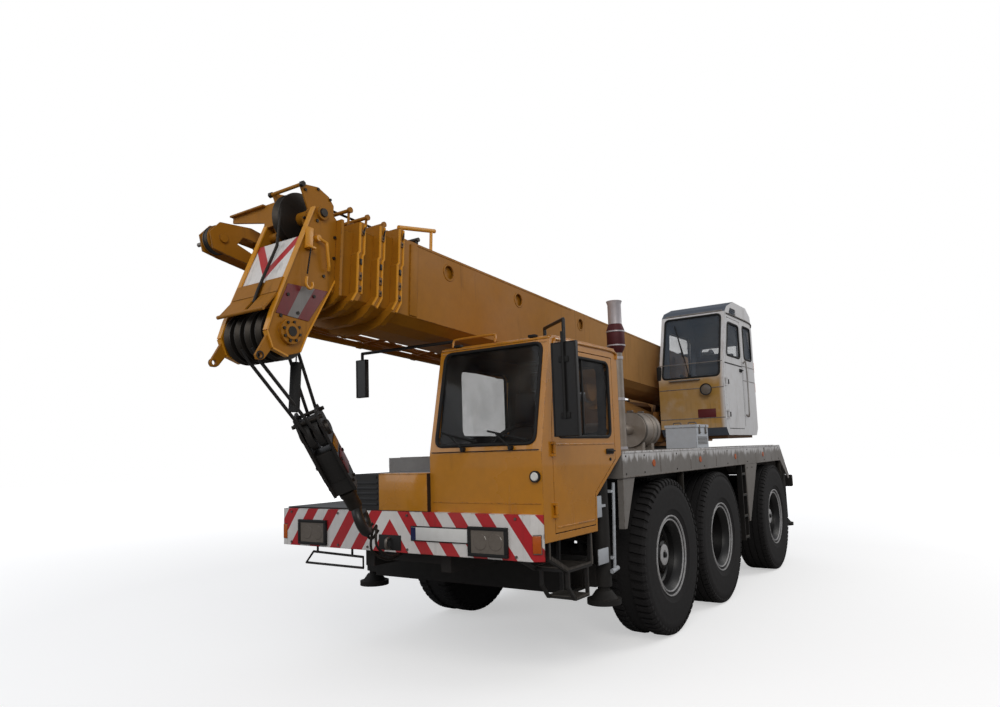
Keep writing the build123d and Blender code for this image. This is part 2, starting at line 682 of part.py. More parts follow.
def counterweight():
    inner = CHEEK_OUT + 50
    half = [(inner, 6720), (inner, 6150), (WEIGHT_HALF, 6150), (WEIGHT_HALF, 6800), (WEIGHT_HALF - 180, 7000)]
    plan = half + [(-x, y) for x, y in reversed(half)]
    weight = plate_z(plan, 2070, WEIGHT_TOP)
    return weight + block(-CHEEK_OUT, CHEEK_OUT, 6560 + SEAT, 6730, 2080, 2280)


add("counterweight", counterweight())


def winch():
    drum = bar_x(110, -240, 240, WINCH_Y, WINCH_Z)
    for x in (-250, 230):
        drum += bar_x(WINCH_R, x, x + 20, WINCH_Y, WINCH_Z)
    for x in (-290, 255):
        drum += block(x, x + 35, WINCH_Y - 90, WINCH_Y + 90, WEIGHT_TOP + SEAT, WINCH_Z + 90)
    return drum + bar_x(40, -290, 290, WINCH_Y, WINCH_Z)


add("winch", winch())


def hydraulic_box():
    tank = block(-1150, -CHEEK_OUT - SEAT - 10, 4400, 5900, PLATFORM_Z, 2280)
    return chamfer(tank.edges().filter_by(Axis.Y).sort_by(Axis.Z)[-2:], 60)


add("hydraulic_box", hydraulic_box())

# Operator's cab on the left of the boom
OPERATOR_OUTLINE = [
    (OPERATOR_FRONT + 80, PLATFORM_Z), (OPERATOR_FRONT, PLATFORM_Z + 90), (OPERATOR_FRONT, 2420),
    (OPERATOR_FRONT + 220, 3220), (OPERATOR_FRONT + 300, 3290), (4790, OPERATOR_ROOF), (5340, OPERATOR_ROOF),
    (OPERATOR_REAR - 40, 3290), (OPERATOR_REAR, 3100), (OPERATOR_REAR, PLATFORM_Z + 90),
    (OPERATOR_REAR - 80, PLATFORM_Z),
]
OPERATOR_WALL = 35
OPERATOR_SCREEN = ((470, 1150), (2440, 3190))
OPERATOR_REAR_WINDOW = ((520, 1100), (2500, 2950))
OPERATOR_DOOR = [(4290, 1900), (4290, 2440), (4487, 3150), (5000, 3150), (5000, 1900), (4940, 1830),
    (4350, 1830)]
OPERATOR_DOOR_WINDOW = [(4390, 2690), (4505, 3095), (4930, 3095), (4930, 2690)]
OPERATOR_SIDE_WINDOW = [(5120, 2700), (5120, 3120), (5450, 3120), (5450, 2700)]
OPERATOR_TOP_WINDOW = [(4580, 3200), (4660, 3290), (4880, 3290), (4880, 3200)]
OPERATOR_INNER_WINDOW = [(4500, 2480), (4580, 3060), (5350, 3060), (5350, 2480)]
OPERATOR_HINGES = (1990, 2370)


def operator_cab():
    x0, x1, wall = OPERATOR_IN, OPERATOR_OUT, OPERATOR_WALL
    shell = plate_x(OPERATOR_OUTLINE, x0, x1) - inset(OPERATOR_OUTLINE, wall, x0 + wall, x1 - wall)
    shell -= window_y(OPERATOR_SCREEN, 50, OPERATOR_FRONT - 10, OPERATOR_FRONT + 270)
    shell -= window_y(OPERATOR_REAR_WINDOW, 50, OPERATOR_REAR - 80, OPERATOR_REAR + 10)
    shell -= inset(OPERATOR_DOOR, -CLEAR, x1 - wall - 5, x1 + 5)
    shell -= rounded(OPERATOR_SIDE_WINDOW, 40, x1 - wall - 5, x1 + 5)
    shell -= rounded(OPERATOR_TOP_WINDOW, 20, x1 - wall - 5, x1 + 5)
    shell -= rounded(OPERATOR_INNER_WINDOW, 60, x0 - 5, x0 + wall + 5)
    for z in OPERATOR_HINGES:
        shell += hinge_pin(x1, OPERATOR_DOOR[0][0], z)
    return shell


add("operator_cab", operator_cab())


def operator_glass():
    (y0, z0), (y1, z1) = OPERATOR_OUTLINE[2], OPERATOR_OUTLINE[3]
    slab = plate_x([(y0 + 10, z0), (y1 + 10, z1), (y1 + 10 + GLASS, z1), (y0 + 10 + GLASS, z0)],
        OPERATOR_IN, OPERATOR_OUT)
    return (
        slab & window_y(OPERATOR_SCREEN, 50, OPERATOR_FRONT - 10, OPERATOR_FRONT + 270, SEAT),
        window_y(OPERATOR_REAR_WINDOW, 50, OPERATOR_REAR - 8 - GLASS, OPERATOR_REAR - 8, SEAT),
        rounded(OPERATOR_SIDE_WINDOW, 40, OPERATOR_OUT - 14, OPERATOR_OUT - 8, SEAT),
        rounded(OPERATOR_TOP_WINDOW, 20, OPERATOR_OUT - 14, OPERATOR_OUT - 8, SEAT),
        rounded(OPERATOR_INNER_WINDOW, 60, OPERATOR_IN + 8, OPERATOR_IN + 14, SEAT),
    )


add("operator_glass", *operator_glass())


def operator_door():
    leaf = plate_x(OPERATOR_DOOR, OPERATOR_OUT - OPERATOR_WALL, OPERATOR_OUT)
    leaf -= rounded(OPERATOR_DOOR_WINDOW, 50, OPERATOR_OUT - OPERATOR_WALL - 5, OPERATOR_OUT + 5)
    for z in OPERATOR_HINGES:
        leaf += hinge_knuckle(OPERATOR_OUT, OPERATOR_DOOR[0][0], z)
    return leaf


add("operator_door", operator_door())
add("operator_door_glass", rounded(OPERATOR_DOOR_WINDOW, 50, OPERATOR_OUT - 14, OPERATOR_OUT - 8, SEAT))


def operator_seat():
    floor = PLATFORM_Z + OPERATOR_WALL
    chair = seat((OPERATOR_IN + OPERATOR_OUT) / 2, 4900, floor)
    for x in (OPERATOR_IN + 60, OPERATOR_OUT - 160):
        chair += block(x, x + 100, 4700, 4980, floor + 300, floor + 560)
    return chair + block(OPERATOR_IN + 60, OPERATOR_OUT - 60, 4760, 4860, floor + 300, floor + 400)


add("operator_seat", operator_seat())

# Boom. Its pieces are laid out level, with s forward from the pivot and t up, and then raised about the pivot.
RAISE = Pos(0, PIVOT_Y, PIVOT_Z) * Rot(-BOOM_RISE, 0, 0)
BOOM_SHAPE = [      # (x, t) of the right half, from the top middle down to the bottom
    (BOOM_HALF, BOOM_TOP), (BOOM_HALF, -245), (BOOM_HALF - 80, -305), (BOOM_HALF - 200, BOOM_LOW),
]


def boom_point(s, t):
    """World (y, z) of a boom place at rest."""
    a = math.radians(BOOM_RISE)
    return PIVOT_Y - s * math.cos(a) + t * math.sin(a), PIVOT_Z + s * math.sin(a) + t * math.cos(a)


def boom_tube(inward, s0, s1):
    """Solid bar of the boom's section, drawn in by a distance, between two stations."""
    points = BOOM_SHAPE + [(-x, t) for x, t in reversed(BOOM_SHAPE)]
    face = make_face(Polyline([(x, -s0, t) for x, t in points], close=True))
    if inward:
        face = offset(face, -inward, kind=Kind.INTERSECTION)
    return extrude(face, amount=s1 - s0, dir=(0, -1, 0))


def collar(section, s):
    """Mouth frame of a section: a bent plate ring that guides the next section."""
    inward = section * BOOM_STEP
    ring = boom_tube(inward - 42, s - 90, s + 90) - boom_tube(inward + BOOM_STEP - SLIDE, s - 95, s + 95)
    edge = plate_x([(-s + 22, 420), (-s + 22, 90), (-s + 8, 70), (-s + 8, -190), (-s - 40, -270),
        (-s - 40, -420),
                    (-s - 84, -420), (-s - 84, -250), (-s - 36, -180), (-s - 36, 80), (-s - 22, 100),
                    (-s - 22, 420)],
                   -500, 500)
    return ring & edge


SECTIONS = [        # name, rear station, mouth station; the mouth of the last one is the head
    ("boom_base", BOOM_REAR, BASE_MOUTH),
    ("boom_section_2", 450, BASE_MOUTH + MOUTH_PITCH),
    ("boom_section_3", 620, BASE_MOUTH + 2 * MOUTH_PITCH),
]


def section(index, rear, mouth):
    inward = index * BOOM_STEP
    body = boom_tube(inward, rear, mouth) - boom_tube(inward + BOOM_WALL, rear - 10, mouth + 10)
    body += collar(index, mouth)
    if index:
        pad = boom_tube(inward - BOOM_STEP + BOOM_WALL + SLIDE, rear, rear + 60)
        body += pad - boom_tube(inward + BOOM_WALL, rear - 10, rear + 70)
    return body


def boom_base():
    body = section(0, *SECTIONS[0][1:])
    body += bar_x(110, -BOOM_HALF, BOOM_HALF, 0, 0)
    body -= bar_x(PIVOT_R + PIN_PLAY, -BOOM_HALF - 10, BOOM_HALF + 10, 0, 0)
    for x in (-122, 87):
        ear = [(-EYE_S - 160, BOOM_LOW + 4), (-EYE_S - 70, EYE_T - 60), (-EYE_S, EYE_T - 95),
            (-EYE_S + 70, EYE_T - 60),
               (-EYE_S + 160, BOOM_LOW + 4)]
        body += plate_x(ear, x, x + 35)
    for s in (1300, 3900, 5060, 6050):
        hole = bar_x(52, -BOOM_HALF - 20, BOOM_HALF + 20, -s, 190) - bar_x(52, -BOOM_HALF + 40,
            BOOM_HALF - 40, -s, 190)
        body -= hole
    return body


add("boom_base", RAISE * boom_base())
for index, (name, rear, mouth) in enumerate(SECTIONS[1:], start=1):
    add(name, RAISE * section(index, rear, mouth))

HEAD_MOUTH = BASE_MOUTH + 3 * MOUTH_PITCH
LUG_BORE_R = 16
LUG_BORE = (7672, -698)     # (s, t) of the pin holes in the two lugs
LUG_TIP = (7700, -700)
LUG_OUTLINE = [(7560, -600), (7625, -560), LUG_TIP, (7688, -724), (7656, -724), (7640, -712)]
HEAD_OUTLINE = [     # (s, t) of a head side plate, from the upper front round by the foot
    (UPPER_SHEAVE_S + 60, UPPER_SHEAVE_T + 22), (7473, -83), (7601, -428), (7634, -545), (7590, -640),
    (7480, -672),
    (7385, -640), (7345, -540), (7165, -200), (7085, -50), (7085, 240), (7200, UPPER_SHEAVE_T + 50),
]


SHEAVE_WELL = bar_x(UPPER_SHEAVE_R + 12, -45, 45, -UPPER_SHEAVE_S, UPPER_SHEAVE_T)


def section_4():
    """Innermost section, a plain tube with pads at its rear and a ring at its mouth."""
    inward = 3 * BOOM_STEP
    body = boom_tube(inward, 790, HEAD_MOUTH) + boom_tube(inward - BOOM_STEP + BOOM_WALL + SLIDE, 790, 850)
    body += boom_tube(inward - 42, HEAD_MOUTH - 22, HEAD_MOUTH)
    body -= boom_tube(inward + BOOM_WALL, 780, HEAD_MOUTH + 10)
    return body - SHEAVE_WELL


SHEAVE_CHEEK = [     # (s, t) of the guard plates beside the upper sheave
    (7085, BOOM_TOP - 3 * BOOM_STEP + SEAT), (7085, 420), (7130, 470), (7226, 505), (7376, 480), (7300, 330),
    (7340, 250), (7300, 150), (HEAD_MOUTH + 10, 150), (HEAD_MOUTH + 10, BOOM_TOP - 3 * BOOM_STEP + SEAT),
]
FRONT_PLATE = [(7390, 110), (7468, -83), (7512, -205), (7490, -205), (7370, 110)]
FRONT_BEAM = [(7535, -195), (7570, -293), (7500, -293), (7490, -195)]
SHEAVE_COVER = [(7560, -285), (7655, -405), (7647, -412), (7545, -285)]
ROPE_SLOT = (20, 60)        # x limits of the hoist rope's slot in the front plate


def boom_head():
    """The head: side plates with lugs, front plate and beam, sheave pins and the upper sheave's guards."""
    inward = 3 * BOOM_STEP
    outline = [(-s, t) for s, t in HEAD_OUTLINE]
    body = both(plate_x(outline, HEAD_PLATE_X - 22, HEAD_PLATE_X))
    inside = HEAD_PLATE_X - 10
    for points in (FRONT_PLATE, FRONT_BEAM, SHEAVE_COVER):
        body += plate_x([(-s, t) for s, t in points], -inside, inside)
    body -= block(*ROPE_SLOT, -7700, -7480, -450, -190)
    body += both(plate_x([(-s, t) for s, t in SHEAVE_CHEEK], 130, 142))
    body += bar_x(12, -160, 160, -7366, 474) + bar_x(12, -inside, inside, -7660, -415)
    for s, t in ((7300, 200), (7160, 200)):
        body += both(bar_x(30, 135, inside, -s, t))
    body += bar_x(50, -HEAD_PLATE_X - 30, HEAD_PLATE_X + 30, -LOWER_SHEAVE_S, LOWER_SHEAVE_T)
    for x in (-HEAD_PLATE_X - 22, HEAD_PLATE_X):
        body += bar_x(78, x, x + 22, -LOWER_SHEAVE_S, LOWER_SHEAVE_T)
    lug = plate_x([(-s, t) for s, t in LUG_OUTLINE], HEAD_PLATE_X - 22, HEAD_PLATE_X)
    body += both(lug - bar_x(LUG_BORE_R, 0, HEAD_PLATE_X + 5, -LUG_BORE[0], LUG_BORE[1]))
    body += plate_x([(-7350, 425), (-7350, 412), (-7350, 262), (-7335, 262), (-7335, 425)], -590, -130)
    body -= plate_y([(-595, 376), (-236, 300), (-236, 255), (-595, 255)], -7355, -7330)
    body += block(-595, -230, -7375, -7310, 413, 425)
    body -= boom_tube(inward - 44, 7000, HEAD_MOUTH + SEAT)
    bulkhead = boom_tube(inward + BOOM_WALL, HEAD_MOUTH + SEAT, HEAD_MOUTH + 20)
    body += bulkhead - SHEAVE_WELL
    return body + bar_x(45, -HEAD_PLATE_X - 20, HEAD_PLATE_X + 20, -UPPER_SHEAVE_S, UPPER_SHEAVE_T)


add("boom_section_4", RAISE * section_4())
add("boom_head", RAISE * boom_head())


GROOVE = 24
ROPE_R = 11
LOWER_PACK = [-150, -50, 50, 150]
FALL_X = LOWER_PACK[1:3]        # the two middle sheaves carry the hook block's falls


def sheave(r, x, width, s, t, bore):
    """One grooved sheave on its pin."""
    half = width / 2
    profile = [(-half, bore), (-half, r), (-half + 6, r), (-6, r - GROOVE), (6, r - GROOVE), (half - 6, r),
        (half, r),
               (half, bore)]
    return ring_x(profile, -s, t, x)


def head_sheaves():
    pack = [sheave(LOWER_SHEAVE_R, x, 60, LOWER_SHEAVE_S, LOWER_SHEAVE_T, 50 + PIN_PLAY) for x in LOWER_PACK]
    top = sheave(UPPER_SHEAVE_R, 0, 70, UPPER_SHEAVE_S, UPPER_SHEAVE_T, 45 + PIN_PLAY)
    return [RAISE * piece for piece in (*pack, top)]


add("head_sheaves", *head_sheaves())


# Hook block on its rope falls, laid out hanging from the origin and then leant back
HOOK_TOP = 560
HOOK_AXLE = HOOK_TOP + 150
HOOK_PLATES = 1180
HOOK_SHEAVE_R = 112
HOOK_SHEAVE_X = 30
FALL_LEAVE = 95     # length over which a fall still runs straight out of its groove


def hook_block():
    """Slim two-sheave block with its hook, turned about its length, on four rope falls."""
    cheek = plate_x([(-70, -HOOK_TOP), (70, -HOOK_TOP), (105, -HOOK_TOP - 90), (105, -HOOK_PLATES + 220),
                     (70, -HOOK_PLATES), (-70, -HOOK_PLATES), (-105, -HOOK_PLATES + 220),
                     (-105, -HOOK_TOP - 90)], 64, 82)
    body = both(cheek) + block(-82, 82, -55, 55, -HOOK_PLATES, -HOOK_PLATES + 120)
    for x in (-HOOK_SHEAVE_X, HOOK_SHEAVE_X):
        body += bar_x(HOOK_SHEAVE_R, x - 22, x + 22, 0, -HOOK_AXLE)
    body += bar_x(34, -98, 98, 0, -HOOK_AXLE)
    body += bar_z(42, -HOOK_PLATES - 160, -HOOK_PLATES + 10, 0, 0)
    hook = Pos(0, 0, -HOOK_PLATES - 260) * Rot(0, 90, 0) * Torus(92, 36)
    body += hook - block(-60, 60, 20, 200, -HOOK_PLATES - 255, -HOOK_PLATES - 90)
    body = Rot(0, 0, HOOK_TWIST) * body
    fall = LOWER_SHEAVE_R - GROOVE + ROPE_R + SEAT
    twist = math.radians(HOOK_TWIST)
    for x, low_x in zip(FALL_X, (-HOOK_SHEAVE_X, HOOK_SHEAVE_X)):
        for side in (1, -1):
            low_y = side * (HOOK_SHEAVE_R - ROPE_R)
            end = (low_x * math.cos(twist) - low_y * math.sin(twist),
                low_x * math.sin(twist) + low_y * math.cos(twist))
            body += tube(ROPE_R, (x, side * fall, 0), (x, side * fall, -FALL_LEAVE))
            body += tube(ROPE_R, (x, side * fall, -FALL_LEAVE), (*end, -HOOK_AXLE))
    return body


SHEAVE_AT = boom_point(LOWER_SHEAVE_S, LOWER_SHEAVE_T)
add("hook_block", Pos(0, *SHEAVE_AT) * Rot(HOOK_LEAN, 0, 0) * hook_block())

# Folding jib stowed along the right side of the boom base: three chords with lacing
JIB_CHORDS = [(-440, -120), (-440, -330), (-615, -225)]
JIB_REAR, JIB_FRONT = 3000, 6900
JIB_BAYS = 6
CHORD_R = 24
JIB_HEAD = [(6900, -340), (6900, 20), (7160, 300), (7300, 325), (7540, 295), (7610, 210), (7580, 105),
    (7470, 85),
            (7230, 55), (7060, -150), (6960, -340)]
JIB_HEAD_HOLE = [(7020, 20), (7190, 230), (7360, 240), (7400, 180), (7200, 120), (7060, -60)]
JIB_HEAD_BARS = ((6930, -300), (6940, 0), (7180, 265), (7330, 285), (7130, -60))


def folding_jib():
    body = None
    for x, t in JIB_CHORDS:
        chord = bar_y(CHORD_R, -JIB_FRONT, -JIB_REAR, x, t)
        body = chord if body is None else body + chord
    pitch = (JIB_FRONT - JIB_REAR) / JIB_BAYS
    for bay in range(JIB_BAYS):
        for k in range(3):
            (xa, ta), (xb, tb) = JIB_CHORDS[k], JIB_CHORDS[(k + 1) % 3]
            s0, s1 = JIB_REAR + bay * pitch, JIB_REAR + (bay + 1) * pitch
            body += tube(13, (xa, -s0, ta), (xb, -s1, tb))
    for s in (JIB_REAR, JIB_FRONT):
        body += block(-640, -410, -s - 30, -s + 30, -360, -90)
    for s in (JIB_REAR, JIB_FRONT - 400):
        body += block(-440, -BOOM_HALF - SEAT, -s - 30, -s + 30, -140, -90)
    outline = [(-s, t) for s, t in JIB_HEAD]
    holes = [(-s, t) for s, t in JIB_HEAD_HOLE]
    for x in (-575, -460):
        body += plate_x(outline, x, x + 12) - plate_x(holes, x - 5, x + 20)
    for s, t in JIB_HEAD_BARS:
        body += bar_x(18, -570, -450, -s, t)
    return body + bar_x(95, -545, -478, -7510, 190) + bar_x(30, -590, -433, -7510, 190)


add("folding_jib", RAISE * folding_jib())

# Luffing cylinder between the turntable and the boom's ears
EYE_AT = boom_point(EYE_S, EYE_T)
LUFF_LENGTH = math.hypot(EYE_AT[0] - BARREL_Y, EYE_AT[1] - BARREL_Z)
LUFF_TILT = math.degrees(math.atan2(EYE_AT[1] - BARREL_Z, BARREL_Y - EYE_AT[0]))
LUFF_AT = Pos(0, BARREL_Y, BARREL_Z) * Rot(-LUFF_TILT, 0, 0)
BARREL_LENGTH = LUFF_LENGTH - 280


def luff_barrel():
    body = bar_y(BARREL_R, -BARREL_LENGTH, -130, 0, 0) + bar_x(88, -85, 85, 0, 0) + bar_y(80, -140, 0, 0, 0)
    body -= bar_x(45 + PIN_PLAY, -100, 100, 0, 0)
    return body - bar_y(ROD_R + SLIDE, -BARREL_LENGTH - 10, -260, 0, 0)


def luff_rod():
    body = bar_y(ROD_R, -LUFF_LENGTH, -300, 0, 0) + bar_x(88, -80, 80, -LUFF_LENGTH, 0)
    return body - bar_x(46, -100, 100, -LUFF_LENGTH, 0)


add("luff_barrel", LUFF_AT * luff_barrel())
add("luff_rod", LUFF_AT * luff_rod())


# The origin lies on the ground below the middle of the machine's box
FRONT_END = boom_point(*LUG_TIP)[0]
REAR_END = REAR_BOX_REAR + LAMP_DEPTH
ORIGIN = Location((-(MIRROR_OUT - HALF) / 2, -(REAR_END + FRONT_END) / 2, 0))


def write_parts():
    os.makedirs("parts", exist_ok=True)
    for name, pieces in PARTS.items():
        solids = [solid for piece in pieces for solid in piece.solids()]
        moved = [solid.moved(ORIGIN) for solid in solids]
        export_step(moved[0] if len(moved) == 1 else Compound(children=moved), f"parts/{name}.step")


write_parts()
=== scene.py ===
import json
import math
import random

import bmesh
import bpy
from mathutils import Matrix, Vector

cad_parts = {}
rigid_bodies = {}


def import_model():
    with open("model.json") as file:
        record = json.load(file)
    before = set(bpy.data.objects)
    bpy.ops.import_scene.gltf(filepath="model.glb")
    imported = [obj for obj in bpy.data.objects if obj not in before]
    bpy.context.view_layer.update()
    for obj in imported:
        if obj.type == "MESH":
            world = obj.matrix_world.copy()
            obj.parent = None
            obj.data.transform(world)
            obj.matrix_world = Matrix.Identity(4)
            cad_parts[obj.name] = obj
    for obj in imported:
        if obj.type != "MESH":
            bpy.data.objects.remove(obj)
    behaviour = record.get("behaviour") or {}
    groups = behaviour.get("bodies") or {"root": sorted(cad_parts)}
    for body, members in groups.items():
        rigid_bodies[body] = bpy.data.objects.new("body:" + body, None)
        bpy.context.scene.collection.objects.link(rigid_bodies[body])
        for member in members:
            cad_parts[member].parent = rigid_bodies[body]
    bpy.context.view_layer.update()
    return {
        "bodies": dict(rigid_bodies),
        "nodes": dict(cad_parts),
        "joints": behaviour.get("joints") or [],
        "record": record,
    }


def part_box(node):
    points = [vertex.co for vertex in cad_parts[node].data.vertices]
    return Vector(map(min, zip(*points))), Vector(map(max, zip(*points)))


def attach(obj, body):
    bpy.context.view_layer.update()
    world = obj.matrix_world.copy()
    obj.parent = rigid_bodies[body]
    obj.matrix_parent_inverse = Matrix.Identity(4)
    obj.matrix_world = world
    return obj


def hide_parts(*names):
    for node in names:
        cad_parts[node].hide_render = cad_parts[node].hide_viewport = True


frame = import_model()
nodes = frame["nodes"]
joints = {joint["name"]: joint for joint in frame["joints"]}
random.seed(7)

# Places are measured from the bumper: x to the crane's left, y back from the bumper's face, z up from the
# ground
bumperLow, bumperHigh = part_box("front_bumper")
middleX = (bumperLow.x + bumperHigh.x) / 2
frontY = bumperLow.y
halfWidth = bumperHigh.x - middleX
toCarrier = Matrix.Translation((middleX, frontY, 0))

# The boom's own frame: x to the left, y back along the boom, z square to it, from the luffing pin
boomPin = Vector(joints["boom_luff"]["pos_m"])
boomForward = Vector(joints["telescope_2"]["axis"]).normalized()
boomUp = Vector((1, 0, 0)).cross(-boomForward)
toBoom = Matrix.Translation((middleX, boomPin.y, boomPin.z)) @ Matrix(
    ((1, 0, 0), (0, -boomForward.y, boomUp.y), (0, -boomForward.z, boomUp.z))).to_4x4()


def stage(text):
    print("scene:", text)


viewCamera = {
    "place": (3.616, -3.8715, 1.642),
    "heading": 34.668,
    "tilt": 6.251,
    "roll": -1.830,
    "lens": 25.30,
    "shift": (0.0047, 0.0214),
}
light = {
    "world": (0.93, 0.95, 1.0),
    "worldStrength": 0.38,
    "backdrop": 1.0,
    "key": {"place": (7.5, -8.0, 8.0), "size": 6.0, "power": 460, "colour": (1.0, 0.96, 0.90)},
    "fill": {"place": (-6.5, -7.0, 6.0), "size": 7.0, "power": 150, "colour": (0.92, 0.96, 1.0)},
    "rim": {"place": (7.5, 9.5, 7.0), "size": 5.0, "power": 240, "colour": (1.0, 0.98, 0.94)},
}


def makeCamera():
    data = bpy.data.cameras.new("mainCamera")
    camera = bpy.data.objects.new("mainCamera", data)
    bpy.context.scene.collection.objects.link(camera)
    turn = (Matrix.Rotation(math.radians(viewCamera["heading"]), 4, "Z")
            @ Matrix.Rotation(math.radians(90 + viewCamera["tilt"]), 4, "X")
            @ Matrix.Rotation(math.radians(viewCamera["roll"]), 4, "Z"))
    camera.matrix_world = toCarrier @ Matrix.Translation(viewCamera["place"]) @ turn
    data.sensor_width = 36
    data.lens = viewCamera["lens"]
    data.shift_x, data.shift_y = viewCamera["shift"]
    data.clip_end = 200
    bpy.context.scene.camera = camera


def makeLights():
    scene = bpy.context.scene
    scene.view_settings.view_transform = "Standard"
    world = bpy.data.worlds.new("studio")
    scene.world = world
    world.use_nodes = True
    tree = world.node_tree
    tree.nodes.clear()
    output = tree.nodes.new("ShaderNodeOutputWorld")
    mix = tree.nodes.new("ShaderNodeMixShader")
    soft = tree.nodes.new("ShaderNodeBackground")
    soft.inputs["Color"].default_value = (*light["world"], 1)
    soft.inputs["Strength"].default_value = light["worldStrength"]
    plain = tree.nodes.new("ShaderNodeBackground")
    plain.inputs["Color"].default_value = (1, 1, 1, 1)
    plain.inputs["Strength"].default_value = light["backdrop"]
    path = tree.nodes.new("ShaderNodeLightPath")
    anyRay = tree.nodes.new("ShaderNodeMath")
    anyRay.operation = "MAXIMUM"
    anyRay.use_clamp = True
    tree.links.new(path.outputs["Is Camera Ray"], anyRay.inputs[0])
    tree.links.new(path.outputs["Is Transmission Ray"], anyRay.inputs[1])
    tree.links.new(anyRay.outputs[0], mix.inputs[0])
    tree.links.new(soft.outputs[0], mix.inputs[1])
    tree.links.new(plain.outputs[0], mix.inputs[2])
    tree.links.new(mix.outputs[0], output.inputs["Surface"])
    target = toCarrier @ Vector((0, 2.5, 1.5))
    for name in ("key", "fill", "rim"):
        data = bpy.data.lights.new(name, "AREA")
        data.energy = light[name]["power"]
        data.color = light[name]["colour"]
        data.size = light[name]["size"]
        lamp = bpy.data.objects.new(name, data)
        scene.collection.objects.link(lamp)
        place = toCarrier @ Vector(light[name]["place"])
        lamp.matrix_world = Matrix.Translation(place) @ (target - place).to_track_quat("-Z",
                "Y").to_matrix().to_4x4()


def addNode(tree, kind, **settings):
    node = tree.nodes.new(kind)
    for key, value in settings.items():
        setattr(node, key, value)
    return node


# Sets or links inputs by name, with _ for a space
def feed(tree, node, **values):
    for key, value in values.items():
        socket = node.inputs[key.replace("_", " ")]
        if isinstance(value, bpy.types.NodeSocket):
            tree.links.new(value, socket)
        else:
            socket.default_value = value
    return node


def noise(tree, coordinates, scale, detail=4.0, roughness=0.55, stretch=(1, 1, 1)):
    mapping = addNode(tree, "ShaderNodeMapping")
    mapping.inputs["Scale"].default_value = stretch
    tree.links.new(coordinates, mapping.inputs["Vector"])
    field = addNode(tree, "ShaderNodeTexNoise")
    feed(tree, field, Vector=mapping.outputs[0], Scale=scale, Detail=detail, Roughness=roughness)
    return field.outputs["Fac"]


def ramp(tree, value, low, high):
    node = addNode(tree, "ShaderNodeMapRange", clamp=True)
    tree.links.new(value, node.inputs["Value"])
    feed(tree, node, From_Min=low, From_Max=high)
    return node.outputs[0]


def blendColour(tree, factor, a, b, mode="MIX"):
    node = addNode(tree, "ShaderNodeMix", data_type="RGBA", blend_type=mode)
    for socket, value in ((node.inputs[0], factor), (node.inputs[6], a), (node.inputs[7], b)):
        if isinstance(value, bpy.types.NodeSocket):
            tree.links.new(value, socket)
        else:
            socket.default_value = value
    return node.outputs[2]


def arithmetic(tree, operation, a, b=0.0, clamp=False):
    node = addNode(tree, "ShaderNodeMath", operation=operation, use_clamp=clamp)
    for socket, value in ((node.inputs[0], a), (node.inputs[1], b)):
        if isinstance(value, bpy.types.NodeSocket):
            tree.links.new(value, socket)
        else:
            socket.default_value = value
    return node.outputs[0]


# The linear colour of a tone given as it looks, 0 to 255
def colour(red, green, blue):
    def linear(value):
        value /= 255
        return value / 12.92 if value <= 0.04045 else ((value + 0.055) / 1.055) ** 2.4
    return linear(red), linear(green), linear(blue), 1.0


